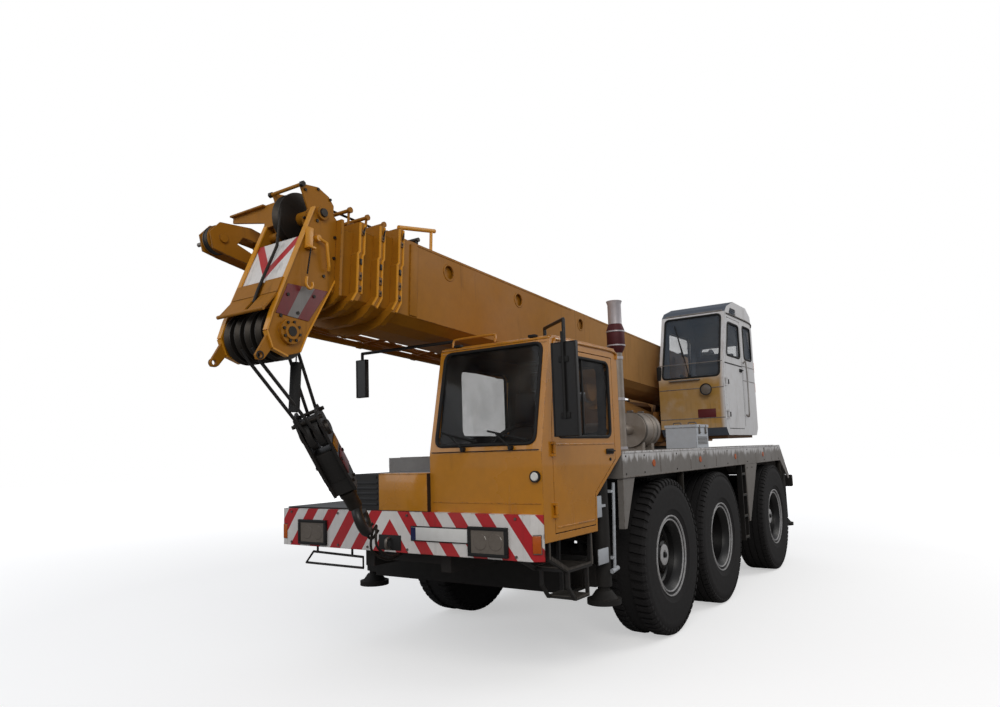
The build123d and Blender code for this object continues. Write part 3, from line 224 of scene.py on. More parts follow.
# Weathered paint: faded patches, run-down streaks, grime low down, chipped edges
def makeAgeGroup():
    group = bpy.data.node_groups.new("weatheredPaint", "ShaderNodeTree")
    face = group.interface
    for name, kind, value in (
            ("Paint", "NodeSocketColor", (0.6, 0.3, 0.05, 1)),
            ("Faded", "NodeSocketColor", (0.7, 0.4, 0.1, 1)),
            ("Dirt", "NodeSocketColor", (0.05, 0.04, 0.03, 1)),
            ("Chip", "NodeSocketColor", (0.1, 0.05, 0.03, 1)),
            ("Fading", "NodeSocketFloat", 0.5), ("Streaks", "NodeSocketFloat", 0.4),
            ("Grime", "NodeSocketFloat", 0.4),
            ("Splash Height", "NodeSocketFloat", 1.0), ("Wear", "NodeSocketFloat", 0.5),
            ("Gloss", "NodeSocketFloat", 0.35)):
        face.new_socket(name, in_out="INPUT", socket_type=kind).default_value = value
    for name, kind in (("Color", "NodeSocketColor"), ("Roughness", "NodeSocketFloat"),
                       ("Height", "NodeSocketFloat")):
        face.new_socket(name, in_out="OUTPUT", socket_type=kind)
    given = addNode(group, "NodeGroupInput").outputs
    result = addNode(group, "NodeGroupOutput").inputs
    where = addNode(group, "ShaderNodeTexCoord").outputs["Object"]
    fade = ramp(group, noise(group, where, 1.1, 5), 0.42, 0.66)
    paint = blendColour(group, arithmetic(group, "MULTIPLY", fade, given["Fading"]), given["Paint"],
                        given["Faded"])
    mottle = ramp(group, noise(group, where, 9.0, 6, 0.65), 0.35, 0.75)
    paint = blendColour(group, arithmetic(group, "MULTIPLY", mottle, 0.35), paint,
                        blendColour(group, 1.0, paint, (0.80, 0.76, 0.70, 1), "MULTIPLY"))
    runs = ramp(group, noise(group, where, 5.0, 5, 0.6, (5.0, 5.0, 0.35)), 0.52, 0.78)
    patch = ramp(group, noise(group, where, 1.7, 4), 0.45, 0.62)
    streak = arithmetic(group, "MULTIPLY", arithmetic(group, "MULTIPLY", runs, patch), given["Streaks"])
    height = addNode(group, "ShaderNodeSeparateXYZ")
    group.links.new(where, height.inputs[0])
    low = arithmetic(group, "DIVIDE", height.outputs["Z"], given["Splash Height"], True)
    low = arithmetic(group, "POWER", arithmetic(group, "SUBTRACT", 1.0, low, True), 1.3)
    spots = ramp(group, noise(group, where, 14.0, 6, 0.7), 0.38, 0.70)
    splash = arithmetic(group, "MULTIPLY", arithmetic(group, "ADD", arithmetic(group, "MULTIPLY", low, 0.9),
                        arithmetic(group, "MULTIPLY", spots, 0.22)), given["Grime"], True)
    dirty = arithmetic(group, "MAXIMUM", streak, splash)
    paint = blendColour(group, dirty, paint, given["Dirt"])
    rounded = addNode(group, "ShaderNodeBevel", samples=4)
    rounded.inputs["Radius"].default_value = 0.012
    geometry = addNode(group, "ShaderNodeNewGeometry")
    bend = addNode(group, "ShaderNodeVectorMath", operation="DOT_PRODUCT")
    group.links.new(rounded.outputs[0], bend.inputs[0])
    group.links.new(geometry.outputs["Normal"], bend.inputs[1])
    edge = ramp(group, bend.outputs["Value"], 0.995, 0.86)
    broken = ramp(group, noise(group, where, 22.0, 5, 0.7), 0.47, 0.60)
    chip = arithmetic(group, "MULTIPLY", arithmetic(group, "MULTIPLY", edge, broken), given["Wear"], True)
    paint = blendColour(group, chip, paint, given["Chip"])
    group.links.new(paint, result["Color"])
    rough = arithmetic(group, "ADD", given["Gloss"], arithmetic(group, "MULTIPLY", arithmetic(
        group, "MAXIMUM", dirty, arithmetic(group, "MULTIPLY", fade, 0.35)), 0.42), True)
    group.links.new(rough, result["Roughness"])
    dents = arithmetic(group, "MULTIPLY", noise(group, where, 2.2, 2), 0.9)
    peel = arithmetic(group, "MULTIPLY", noise(group, where, 160.0, 2), 0.05)
    group.links.new(arithmetic(group, "ADD", dents, peel), result["Height"])
    return group


def newMaterial(name):
    material = bpy.data.materials.new(name)
    material.use_nodes = True
    tree = material.node_tree
    tree.nodes.clear()
    shader = addNode(tree, "ShaderNodeBsdfPrincipled")
    output = addNode(tree, "ShaderNodeOutputMaterial")
    tree.links.new(shader.outputs[0], output.inputs["Surface"])
    return material, tree, shader


def paintMaterial(name, paint, faded, dirt=(52, 44, 36), chip=(70, 52, 38), fading=0.5, streaks=0.5,
                  grime=0.4,
                  splashHeight=1.2, wear=0.6, gloss=0.34, bump=0.006, coat=0.0, shine=0.5, pattern=None):
    material, tree, shader = newMaterial(name)
    age = addNode(tree, "ShaderNodeGroup", node_tree=ageGroup)
    feed(tree, age, Faded=colour(*faded), Dirt=colour(*dirt), Chip=colour(*chip), Fading=fading,
         Streaks=streaks,
         Grime=grime, Splash_Height=splashHeight, Wear=wear, Gloss=gloss)
    if pattern:
        tree.links.new(pattern(tree), age.inputs["Paint"])
    else:
        age.inputs["Paint"].default_value = colour(*paint)
    roundEdge = addNode(tree, "ShaderNodeBevel", samples=4)
    roundEdge.inputs["Radius"].default_value = 0.005
    bumpNode = addNode(tree, "ShaderNodeBump")
    feed(tree, bumpNode, Height=age.outputs["Height"], Distance=bump, Strength=0.5,
         Normal=roundEdge.outputs[0])
    feed(tree, shader, Base_Color=age.outputs["Color"], Roughness=age.outputs["Roughness"],
         Normal=bumpNode.outputs[0])
    shader.inputs["Coat Weight"].default_value = coat
    shader.inputs["Specular IOR Level"].default_value = shine
    return material


def plainMaterial(name, tone, roughness, metallic=0.0, grain=40.0, contrast=0.35, bump=0.001,
                  stretch=(1, 1, 1), **sockets):
    material, tree, shader = newMaterial(name)
    where = addNode(tree, "ShaderNodeTexCoord").outputs["Object"]
    field = noise(tree, where, grain, 5, 0.6, stretch)
    broad = noise(tree, where, grain / 12, 3)
    shade = blendColour(tree, 1.0, colour(*tone), (0.55, 0.53, 0.50, 1), "MULTIPLY")
    mixed = arithmetic(tree, "MULTIPLY", ramp(tree,
                                              arithmetic(tree, "ADD",
                                                         arithmetic(tree, "MULTIPLY", field, 0.5),
                       arithmetic(tree, "MULTIPLY", broad, 0.5)), 0.35, 0.70), contrast)
    bumpNode = addNode(tree, "ShaderNodeBump")
    feed(tree, bumpNode, Height=field, Distance=bump, Strength=0.6)
    rough = arithmetic(tree, "ADD", roughness - 0.06, arithmetic(tree, "MULTIPLY", field, 0.14), True)
    feed(tree, shader, Base_Color=blendColour(tree, mixed, colour(*tone), shade), Roughness=rough,
         Normal=bumpNode.outputs[0], Metallic=metallic)
    feed(tree, shader, **sockets)
    return material


# Red and white diagonals that lean towards each other left and right of the middle
def bumperStripes(tree):
    where = addNode(tree, "ShaderNodeTexCoord").outputs["Object"]
    part = addNode(tree, "ShaderNodeSeparateXYZ")
    tree.links.new(where, part.inputs[0])
    across = arithmetic(tree, "SUBTRACT", part.outputs["X"], middleX + stripes["middle"])
    lean = arithmetic(tree, "ADD", arithmetic(tree, "ABSOLUTE", across),
                      arithmetic(tree, "MULTIPLY", part.outputs["Z"],
                      stripes["lean"]))
    wave = arithmetic(tree, "FRACT", arithmetic(tree, "DIVIDE", lean, stripes["pitch"]))
    red = ramp(tree, arithmetic(tree, "ABSOLUTE", arithmetic(tree, "SUBTRACT", wave, 0.5)), 0.245, 0.255)
    return blendColour(tree, red, colour(*stripes["red"]), colour(*stripes["white"]))


# The upper cab is yellow low on its front, and pale on its pillars, roof and outer side; that pale is partly
# pale paint and partly a painted highlight of strong light from the rear right
def upperPaintAndHighlight(tree):
    where = addNode(tree, "ShaderNodeTexCoord").outputs["Object"]
    part = addNode(tree, "ShaderNodeSeparateXYZ")
    tree.links.new(where, part.inputs[0])
    patch = arithmetic(tree, "MULTIPLY", arithmetic(tree, "SUBTRACT", noise(tree, where, 6.0, 5, 0.6), 0.5),
                       0.8)
    high = arithmetic(tree, "ADD", ramp(tree, part.outputs["Z"], 2.34, 2.66), patch)
    side = ramp(tree, part.outputs["X"], middleX + 1.14, middleX + 1.19)
    pale = arithmetic(tree, "MAXIMUM", high, side, True)
    return blendColour(tree, pale, colour(194, 150, 78), colour(232, 232, 234))


# The deck's side plates carry a painted highlight: pale along their upper edge, with a ragged lower border
def deckHighlightPattern(tree):
    where = addNode(tree, "ShaderNodeTexCoord").outputs["Object"]
    part = addNode(tree, "ShaderNodeSeparateXYZ")
    tree.links.new(where, part.inputs[0])
    ragged = arithmetic(tree, "MULTIPLY", arithmetic(tree, "SUBTRACT",
                                                     noise(tree, where, 14.0, 5, 0.7, (1, 1, 0.25)), 0.5),
                                                     0.30)
    high = ramp(tree, arithmetic(tree, "ADD", part.outputs["Z"], ragged), 1.535, 1.575)
    across = arithmetic(tree, "ABSOLUTE", arithmetic(tree, "SUBTRACT", part.outputs["X"], middleX))
    side = ramp(tree, across, halfWidth - 0.008, halfWidth - 0.004)
    return blendColour(tree, arithmetic(tree, "MULTIPLY", high, side), colour(138, 133, 128),
                       colour(226, 225, 226))


# The boom is deep yellow at the head and paler towards its pivot
def boomPattern(tree):
    where = addNode(tree, "ShaderNodeTexCoord").outputs["Object"]
    part = addNode(tree, "ShaderNodeSeparateXYZ")
    tree.links.new(where, part.inputs[0])
    far = ramp(tree, part.outputs["Y"], frontY + 1.6, frontY + 4.6)
    return blendColour(tree, far, colour(168, 110, 18), colour(192, 146, 92))


# A red V on white below the upper sheave
def chevronStripes(tree):
    where = addNode(tree, "ShaderNodeTexCoord").outputs["Object"]
    part = addNode(tree, "ShaderNodeSeparateXYZ")
    tree.links.new(where, part.inputs[0])
    across = arithmetic(tree, "ABSOLUTE", arithmetic(tree, "SUBTRACT", part.outputs["X"], middleX))
    lean = arithmetic(tree, "SUBTRACT", part.outputs["Z"],
                      arithmetic(tree, "MULTIPLY", across, chevron["lean"]))
    red = ramp(tree, arithmetic(tree, "ABSOLUTE", arithmetic(tree, "SUBTRACT", lean, chevron["foot"])),
               chevron["half"] - 0.002, chevron["half"] + 0.002)
    return blendColour(tree, red, colour(*stripes["red"]), colour(*stripes["white"]))


chevron = {"lean": 1.15, "foot": 2.80, "half": 0.045}
stripes = {"middle": -0.05, "lean": 0.75, "pitch": 0.235, "red": (196, 30, 40), "white": (240, 237, 235)}


def glassMaterial(name, tint, alpha):
    material, tree, shader = newMaterial(name)
    where = addNode(tree, "ShaderNodeTexCoord").outputs["Object"]
    film = ramp(tree, noise(tree, where, 3.0, 5, 0.6), 0.40, 0.75)
    feed(tree, shader, Base_Color=blendColour(tree, arithmetic(tree, "MULTIPLY", film, 0.5), colour(*tint),
                                              colour(120, 118, 112)),
         Roughness=arithmetic(tree, "ADD", 0.04, arithmetic(tree, "MULTIPLY", film, 0.10)),
         Alpha=arithmetic(tree, "ADD", alpha, arithmetic(tree, "MULTIPLY", film, 0.10)))
    shader.inputs["IOR"].default_value = 1.5
    return material


ageGroup = makeAgeGroup()
materials = {
    "yellow": paintMaterial("yellowPaint", (206, 136, 28), (196, 142, 70), fading=0.25, streaks=0.35,
                            grime=0.35, gloss=0.24, coat=0.5),
    "boomYellow": paintMaterial("boomPaint", (0, 0, 0), (186, 126, 40), fading=0.12, streaks=0.45, grime=0.40,
                                splashHeight=1.0, wear=0.85, gloss=0.48, shine=0.25, pattern=boomPattern),
    "dirtyYellow": paintMaterial("dirtyYellowPaint", (140, 92, 38), (124, 92, 56), fading=0.6, streaks=0.8,
                                 grime=0.8,
                                 splashHeight=1.9, wear=0.8, gloss=0.5),
    # The pale band along the deck's upper side edge is a painted highlight
    "cream": paintMaterial("creamPaintAndHighlight", (0, 0, 0), (190, 188, 188), dirt=(66, 62, 60), chip=(84, 62, 46),
                           fading=0.45,
                           streaks=0.9, grime=0.60, splashHeight=2.1, wear=0.9, gloss=0.40,
                           pattern=deckHighlightPattern),
    # The pale upper part and outer side are partly a painted highlight of strong light from the rear right
    "upperYellow": paintMaterial("upperCabPaintAndHighlight", (190, 136, 56), (214, 216, 220), dirt=(84, 66, 50),
                                 fading=0.25, streaks=0.5,
                                 grime=0.25, splashHeight=1.9, gloss=0.32, pattern=upperPaintAndHighlight),
    "chevron": paintMaterial("chevronPaint", (0, 0, 0), (190, 170, 160), fading=0.15, streaks=0.5, grime=0.3,
                             splashHeight=1.0,
                             wear=0.5, pattern=chevronStripes),
    "bandRed": paintMaterial("bandRedPaint", (112, 20, 24), (120, 50, 46), fading=0.3, streaks=0.4, grime=0.3,
                             splashHeight=1.0),
    "bandGrey": paintMaterial("bandGreyPaint", (124, 120, 118), (136, 132, 128), fading=0.3, streaks=0.4,
                              grime=0.3, splashHeight=1.0),
    "plateRed": plainMaterial("plateRed", (104, 26, 30), 0.45, grain=40, contrast=0.4),
    "exhaustRed": plainMaterial("scaledSteel", (92, 36, 42), 0.6, 0.3, grain=24, contrast=0.8, bump=0.003),
    "frame": paintMaterial("framePaint", (30, 27, 25), (40, 35, 30), dirt=(22, 20, 18), fading=0.6,
                           streaks=0.6, grime=0.9,
                           splashHeight=1.4, wear=0.5, gloss=0.55),
    "black": paintMaterial("blackPaint", (26, 25, 25), (44, 42, 40), dirt=(58, 52, 46), fading=0.5,
                           streaks=0.3, grime=0.35,
                           wear=0.5, gloss=0.38),
    "bumper": paintMaterial("bumperPaint", (0, 0, 0), (190, 150, 140), fading=0.10, streaks=0.35, grime=0.35,
                            splashHeight=1.15,
                            wear=0.6, gloss=0.34, pattern=bumperStripes),
    "silver": paintMaterial("silverPaint", (200, 200, 202), (214, 214, 216), dirt=(48, 44, 40), fading=0.4,
                            streaks=0.3,
                            grime=0.5, splashHeight=1.1, wear=0.5, gloss=0.36),
    "rimBlack": plainMaterial("rimBlack", (17, 16, 17), 0.42, grain=20, contrast=0.5),
    # A brighter yellow on edges, flange strips and small fittings: a painted highlight
    "edgeHighlightYellow": plainMaterial("edgeHighlightYellow", (226, 156, 40), 0.30, grain=16, contrast=0.45),
    "liner": plainMaterial("cabLiner", (48, 45, 44), 0.8, grain=60, contrast=0.4),
    "upperLiner": plainMaterial("upperCabLiner", (96, 104, 116), 0.7, grain=60, contrast=0.4),
    "plateBlue": plainMaterial("plateBlue", (24, 34, 84), 0.4, grain=20, contrast=0.25),
    "grey": paintMaterial("greyPaint", (206, 212, 220), (220, 224, 230), dirt=(60, 56, 52), fading=0.5,
                          streaks=0.5, grime=0.4,
                          splashHeight=1.9, wear=0.6, gloss=0.45),
    "tyre": plainMaterial("tyreRubber", (27, 25, 26), 0.82, grain=30, contrast=0.5, bump=0.002),
    "rubber": plainMaterial("blackRubber", (22, 22, 22), 0.7, grain=60, contrast=0.3),
    "plastic": plainMaterial("darkPlastic", (36, 36, 38), 0.55, grain=300, contrast=0.2),
    "seat": plainMaterial("seatCloth", (52, 50, 54), 0.9, grain=220, contrast=0.4, bump=0.002),
    "steel": plainMaterial("wornSteel", (128, 122, 116), 0.42, 0.85, grain=18, contrast=0.8),
    "darkSteel": plainMaterial("oiledSteel", (62, 58, 54), 0.46, 0.75, grain=16, contrast=0.8),
    "exhaustSteel": plainMaterial("exhaustSteel", (168, 158, 148), 0.45, 0.5, grain=10, contrast=0.9),
    "stackSteel": plainMaterial("stackSteel", (208, 204, 210), 0.40, 0.3, grain=14, contrast=0.7),
    "chrome": plainMaterial("chromeRod", (200, 200, 202), 0.14, 1.0, grain=8, contrast=0.15),
    "rope": plainMaterial("wireRope", (52, 48, 44), 0.5, 0.6, grain=90, contrast=0.8, bump=0.003),
    "mirrorGlass": plainMaterial("mirrorGlass", (190, 196, 204), 0.04, 1.0, grain=2, contrast=0.05, bump=0.0),
    "lampGlass": plainMaterial("lampGlass", (120, 112, 104), 0.10, 0.0, grain=50, contrast=0.4),
    "amber": plainMaterial("amberLens", (196, 92, 18), 0.2, 0.0, grain=60, contrast=0.3),
    "red": plainMaterial("redLens", (150, 18, 16), 0.22, 0.0, grain=60, contrast=0.3),
    "whitePlate": plainMaterial("whitePlate", (240, 240, 238), 0.4, 0.0, grain=20, contrast=0.25),
    "glass": glassMaterial("cabGlass", (22, 22, 26), 0.24),
    "upperGlass": glassMaterial("upperCabGlass", (110, 122, 136), 0.20),
}
stage("materials")

nodeFinish = {
    "axles": "frame", "chassis_frame": "frame", "outrigger_boxes": "frame", "deck": "cream",
    "front_bumper": "bumper", "front_body": "black", "driver_cab": "yellow", "cab_glass": "glass",
    "driver_door": "yellow",
    "driver_door_glass": "glass", "cab_interior": "plastic", "engine_block": "darkSteel",
    "exhaust": "exhaustSteel",
    "deck_boxes": "grey", "steps_ladders": "black", "lamps": "lampGlass", "mirrors": "black",
    "turntable": "dirtyYellow",
    "counterweight": "boomYellow", "winch": "darkSteel", "hydraulic_box": "dirtyYellow",
    "operator_cab": "upperYellow",
    "operator_glass": "upperGlass", "operator_door": "upperYellow", "operator_door_glass": "upperGlass",
    "operator_seat": "seat", "boom_base": "boomYellow", "boom_section_2": "boomYellow",
    "boom_section_3": "boomYellow",
    "boom_section_4": "boomYellow", "boom_head": "boomYellow", "head_sheaves": "darkSteel",
    "hook_block": "black", "folding_jib": "boomYellow",
    "luff_barrel": "boomYellow", "luff_rod": "chrome",
}
nodePrefix = {"tyre_": "tyre", "rim_": "silver", "knuckle_": "frame", "outrigger_beam_": "frame",
              "jack_": "frame"}


def cabDepth(place, inner, outer, front, brow, roof, rear):
    slope = front[0] + (brow[0] - front[0]) * min(1, max(0, (place.z - front[1]) / (brow[1] - front[1])))
    return min(place.x - inner, outer - place.x, place.y - slope, rear - place.y, roof - place.z)


# The walls' inner faces take a lining
def lineCabs():
    shells = {
        "driver_cab": ("liner", 0.310, 1.250, (0.045, 1.640), (0.205, 2.395), 2.425, 1.250),
        "operator_cab": ("upperLiner", 0.420, 1.200, (4.220, 2.420), (4.440, 3.220), 3.380, 5.560),
    }
    shells["driver_door"] = shells["driver_cab"]
    shells["operator_door"] = shells["operator_cab"]
    for name, (finish, *limits) in shells.items():
        mesh = nodes[name].data
        mesh.materials.append(materials[finish])
        for face in mesh.polygons:
            if cabDepth(face.center - toCarrier.translation, *limits) > 0.022:
                face.material_index = 1


def finishNodes():
    for name, node in nodes.items():
        finish = nodeFinish.get(name)
        if not finish:
            finish = next(value for prefix, value in nodePrefix.items() if name.startswith(prefix))
        node.data.materials.clear()
        node.data.materials.append(materials[finish])


finishNodes()
lineCabs()
makeCamera()
makeLights()
stage("finishes, camera and lights")


# Geometry helpers. Each makes one shape with bmesh operators and joins it to bm; makePiece moves the result
# to its place.
def joinTo(bm, shape, slot):
    for face in shape.faces:
        face.material_index = slot
    mesh = bpy.data.meshes.new("shape")
    shape.to_mesh(mesh)
    shape.free()
    bm.from_mesh(mesh)
    bpy.data.meshes.remove(mesh)


def bevelAll(shape, size, segments):
    bmesh.ops.bevel(shape, geom=shape.edges[:], offset=size, offset_type="OFFSET", segments=segments,
                    profile=0.5,
                    affect="EDGES", material=-1)


def addBox(bm, low, high, round=0.0, turn=None, slot=0):
    shape = bmesh.new()
    low, high = Vector(low), Vector(high)
    matrix = Matrix.Translation((low + high) / 2) @ (turn or Matrix()) @ Matrix.Diagonal((*(high - low), 1))
    bmesh.ops.create_cube(shape, size=1, matrix=matrix)
    if round:
        bevelAll(shape, round, 2)
    joinTo(bm, shape, slot)


def addRod(bm, start, end, radius, tip=None, sides=16, slot=0):
    shape = bmesh.new()
    start, end = Vector(start), Vector(end)
    matrix = Matrix.Translation((start + end) / 2) @ (end - start).to_track_quat("Z",
            "Y").to_matrix().to_4x4()
    bmesh.ops.create_cone(shape, cap_ends=True, segments=sides, radius1=radius,
                          radius2=radius if tip is None else tip,
                          depth=(end - start).length, matrix=matrix)
    joinTo(bm, shape, slot)


def addBall(bm, place, radius, slot=0):
    shape = bmesh.new()
    bmesh.ops.create_uvsphere(shape, u_segments=14, v_segments=9, radius=radius,
                              matrix=Matrix.Translation(place))
    joinTo(bm, shape, slot)


def smoothPath(points, steps=6):
    points = [Vector(point) for point in points]
    if len(points) < 3:
        return points
    ends = [points[0] * 2 - points[1]] + points + [points[-1] * 2 - points[-2]]
    path = []
    for a, b, c, d in zip(ends, ends[1:], ends[2:], ends[3:]):
        for step in range(steps):
            t = step / steps
            path.append(0.5 * (2 * b + (c - a) * t + (2 * a - 5 * b + 4 * c - d) * t * t
                               + (3 * b - a - 3 * c + d) * t ** 3))
    return path + [points[-1]]


# Rings along a path, bridged one to the next
def addTube(bm, points, radius, sides=10, closed=False, slot=0):
    shape = bmesh.new()
    points = [Vector(point) for point in points]
    count = len(points)
    loops = []
    side = None
    for index, point in enumerate(points):
        ahead = points[(index + 1) % count] if closed or index < count - 1 else point
        behind = points[index - 1] if closed or index else point
        run = (ahead - behind).normalized()
        side = run.orthogonal().normalized() if side is None else (side - run * side.dot(run)).normalized()
        frame = Matrix((side, run.cross(side), run)).transposed().to_4x4()
        frame.translation = point
        capped = not closed and index in (0, count - 1)
        made = bmesh.ops.create_circle(shape, cap_ends=capped, segments=sides, radius=radius, matrix=frame)
        loops.append(list({edge for vertex in made["verts"] for edge in vertex.link_edges}))
    for first, second in zip(loops, loops[1:] + loops[:1] if closed else loops[1:]):
        bmesh.ops.bridge_loops(shape, edges=first + second)
    joinTo(bm, shape, slot)


# A profile of (along, radius) pairs spun about an axis
def addLathe(bm, profile, centre=(0, 0, 0), axis="X", steps=48, slot=0):
    shape = bmesh.new()
    turn = {"X": Matrix(), "Y": Matrix.Rotation(math.pi / 2, 4, "Z"),
            "Z": Matrix.Rotation(-math.pi / 2, 4, "Y")}[axis]
    verts = [shape.verts.new((along, 0, radius)) for along, radius in profile]
    edges = [shape.edges.new(pair) for pair in zip(verts, verts[1:] + verts[:1])]
    bmesh.ops.spin(shape, geom=verts + edges, cent=(0, 0, 0), axis=(1, 0, 0), angle=math.tau, steps=steps,
                   use_merge=True, use_duplicate=False)
    bmesh.ops.remove_doubles(shape, verts=shape.verts, dist=1e-6)
    bmesh.ops.dissolve_degenerate(shape, edges=shape.edges, dist=1e-6)
    bmesh.ops.transform(shape, matrix=Matrix.Translation(centre) @ turn, verts=shape.verts)
    joinTo(bm, shape, slot)


# A flat outline given in the two axes square to axis, pushed from low to high along it
def addPlate(bm, outline, axis, low, high, slot=0):
    shape = bmesh.new()

    def place(a, b, along):
        return Vector({"X": (along, a, b), "Y": (a, along, b), "Z": (a, b, along)}[axis])
    face = shape.faces.new([shape.verts.new(place(a, b, low)) for a, b in outline])
    made = bmesh.ops.extrude_face_region(shape, geom=[face])
    moved = [item for item in made["geom"] if isinstance(item, bmesh.types.BMVert)]
    bmesh.ops.translate(shape, vec=place(0, 0, high - low), verts=moved)
    joinTo(bm, shape, slot)


# The corners of an outline cut round, as a closed list of points
def roundOutline(points, radius, steps=5):
    result = []
    count = len(points)
    for k in range(count):
        corner = Vector(points[k])
        back, on = Vector(points[k - 1]) - corner, Vector(points[(k + 1) % count]) - corner
        reach = min(radius, back.length / 2.1, on.length / 2.1)
        start, end = corner + back.normalized() * reach, corner + on.normalized() * reach
        for step in range(steps + 1):
            t = step / steps
            result.append(start * (1 - t) ** 2 + corner * 2 * t * (1 - t) + end * t * t)
    return result


def makePiece(name, bm, finishes, body, where=None, stands=(), sharp=32):
    bmesh.ops.transform(bm, matrix=where or toCarrier, verts=bm.verts)
    bmesh.ops.recalc_face_normals(bm, faces=bm.faces)
    mesh = bpy.data.meshes.new(name)
    bm.to_mesh(mesh)
    bm.free()
    for finish in finishes:
        mesh.materials.append(materials[finish])
    mesh.polygons.foreach_set("use_smooth", [True] * len(mesh.polygons))
    mesh.set_sharp_from_angle(angle=math.radians(sharp))
    piece = bpy.data.objects.new(name, mesh)
    bpy.context.scene.collection.objects.link(piece)
    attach(piece, body)
    if stands:
        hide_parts(*stands)
    return piece


def around(count, start=0.0):
    return [start + math.tau * k / count for k in range(count)]


# Wheels: carcass, tread and a rim in silver and black
tyreLook = {
    "side": [(0.150, 0.335), (0.163, 0.350), (0.172, 0.378), (0.180, 0.400), (0.1835, 0.404), (0.184, 0.440),
             (0.1868, 0.470), (0.1875, 0.520), (0.1855, 0.570), (0.186, 0.574), (0.183, 0.600),
             (0.172, 0.640),
             (0.158, 0.656)],
    "crown": 0.661,
    "top": 0.6795,
    "lugs": 58,
    "blocks": 72,
}
rimLook = {
    "flange": [(0.160, 0.338), (0.171, 0.341), (0.171, 0.351), (0.160, 0.352), (0.156, 0.345)],
    "lip": [(0.146, 0.320), (0.158, 0.327), (0.160, 0.339), (0.150, 0.340)],
    "ring": [(0.149, 0.320), (0.160, 0.315), (0.160, 0.309), (0.152, 0.303), (0.146, 0.306)],
    "cone": [(0.150, 0.305), (0.112, 0.268), (0.086, 0.258), (0.082, 0.262), (0.140, 0.312)],
    "barrel": [(0.146, 0.327), (-0.166, 0.327), (-0.171, 0.338), (-0.171, 0.351), (-0.160, 0.351),
               (-0.160, 0.318), (0.140, 0.318)],
    "nutCircle": 0.168,
    "nuts": 10,
    "cap": {True: (0.127, 0.100), False: (0.095, 0.032)},
    "disc": {True: 0.030, False: -0.016},
}


# A block of tread: its section is drawn at one edge and pushed round the wheel
def addLug(bm, section, angle, width, shear):
    shape = bmesh.new()
    turns = [angle - width / 2 + x * shear for x, r in section]
    face = shape.faces.new([shape.verts.new((x, r * math.cos(a), r * math.sin(a))) for (x, r),
                            a in zip(section, turns)])
    made = bmesh.ops.extrude_face_region(shape, geom=[face])
    moved = [item for item in made["geom"] if isinstance(item, bmesh.types.BMVert)]
    bmesh.ops.rotate(shape, verts=moved, cent=(0, 0, 0), matrix=Matrix.Rotation(width, 3, "X"))
    joinTo(bm, shape, 0)


def makeTyre(number, side):
    bm = bmesh.new()
    half = tyreLook["side"]
    if number == 1:
        middle = [(0.10, tyreLook["crown"]), (0.0, tyreLook["crown"] + 0.002)]
    else:
        middle = []
        for groove in (0.112, 0.040):
            middle += [(groove + 0.010, tyreLook["top"] - 0.001), (groove + 0.006, 0.664),
                       (groove - 0.006, 0.664),
                       (groove - 0.010, tyreLook["top"] - 0.001)]
        middle.append((0.0, tyreLook["top"]))
    profile = half + middle
    profile += [(-x, r) for x, r in reversed(profile[:-1])]
    addLathe(bm, profile, steps=84)
    if number == 1:
        section = [(0.060, 0.655), (0.060, tyreLook["top"]), (0.146, tyreLook["top"] - 0.002), (0.168, 0.670),
                   (0.186, 0.645), (0.186, 0.622), (0.170, 0.622)]
        for angle in around(tyreLook["lugs"]):
            addLug(bm, section, angle, 0.060, 0.25)
            addLug(bm, [(-x, r) for x, r in section], angle + math.pi / tyreLook["lugs"], 0.060, 0.25)
    else:
        section = [(0.126, 0.655), (0.126, tyreLook["top"] - 0.001), (0.150, tyreLook["top"] - 0.003),
                   (0.170, 0.668),
                   (0.182, 0.648), (0.178, 0.632)]
        for angle in around(tyreLook["blocks"]):
            for sign in (1, -1):
                addLug(bm, [(sign * x, r) for x, r in section], angle, 0.064, 0.0)
    joint = joints[f"wheel_{number}_{side}_spin"]
    makePiece(f"tyre_{number}_{side}_tread", bm, ["tyre"], f"wheel_{number}_{side}",
              Matrix.Translation(joint["pos_m"]),
              [f"tyre_{number}_{side}"], 28)


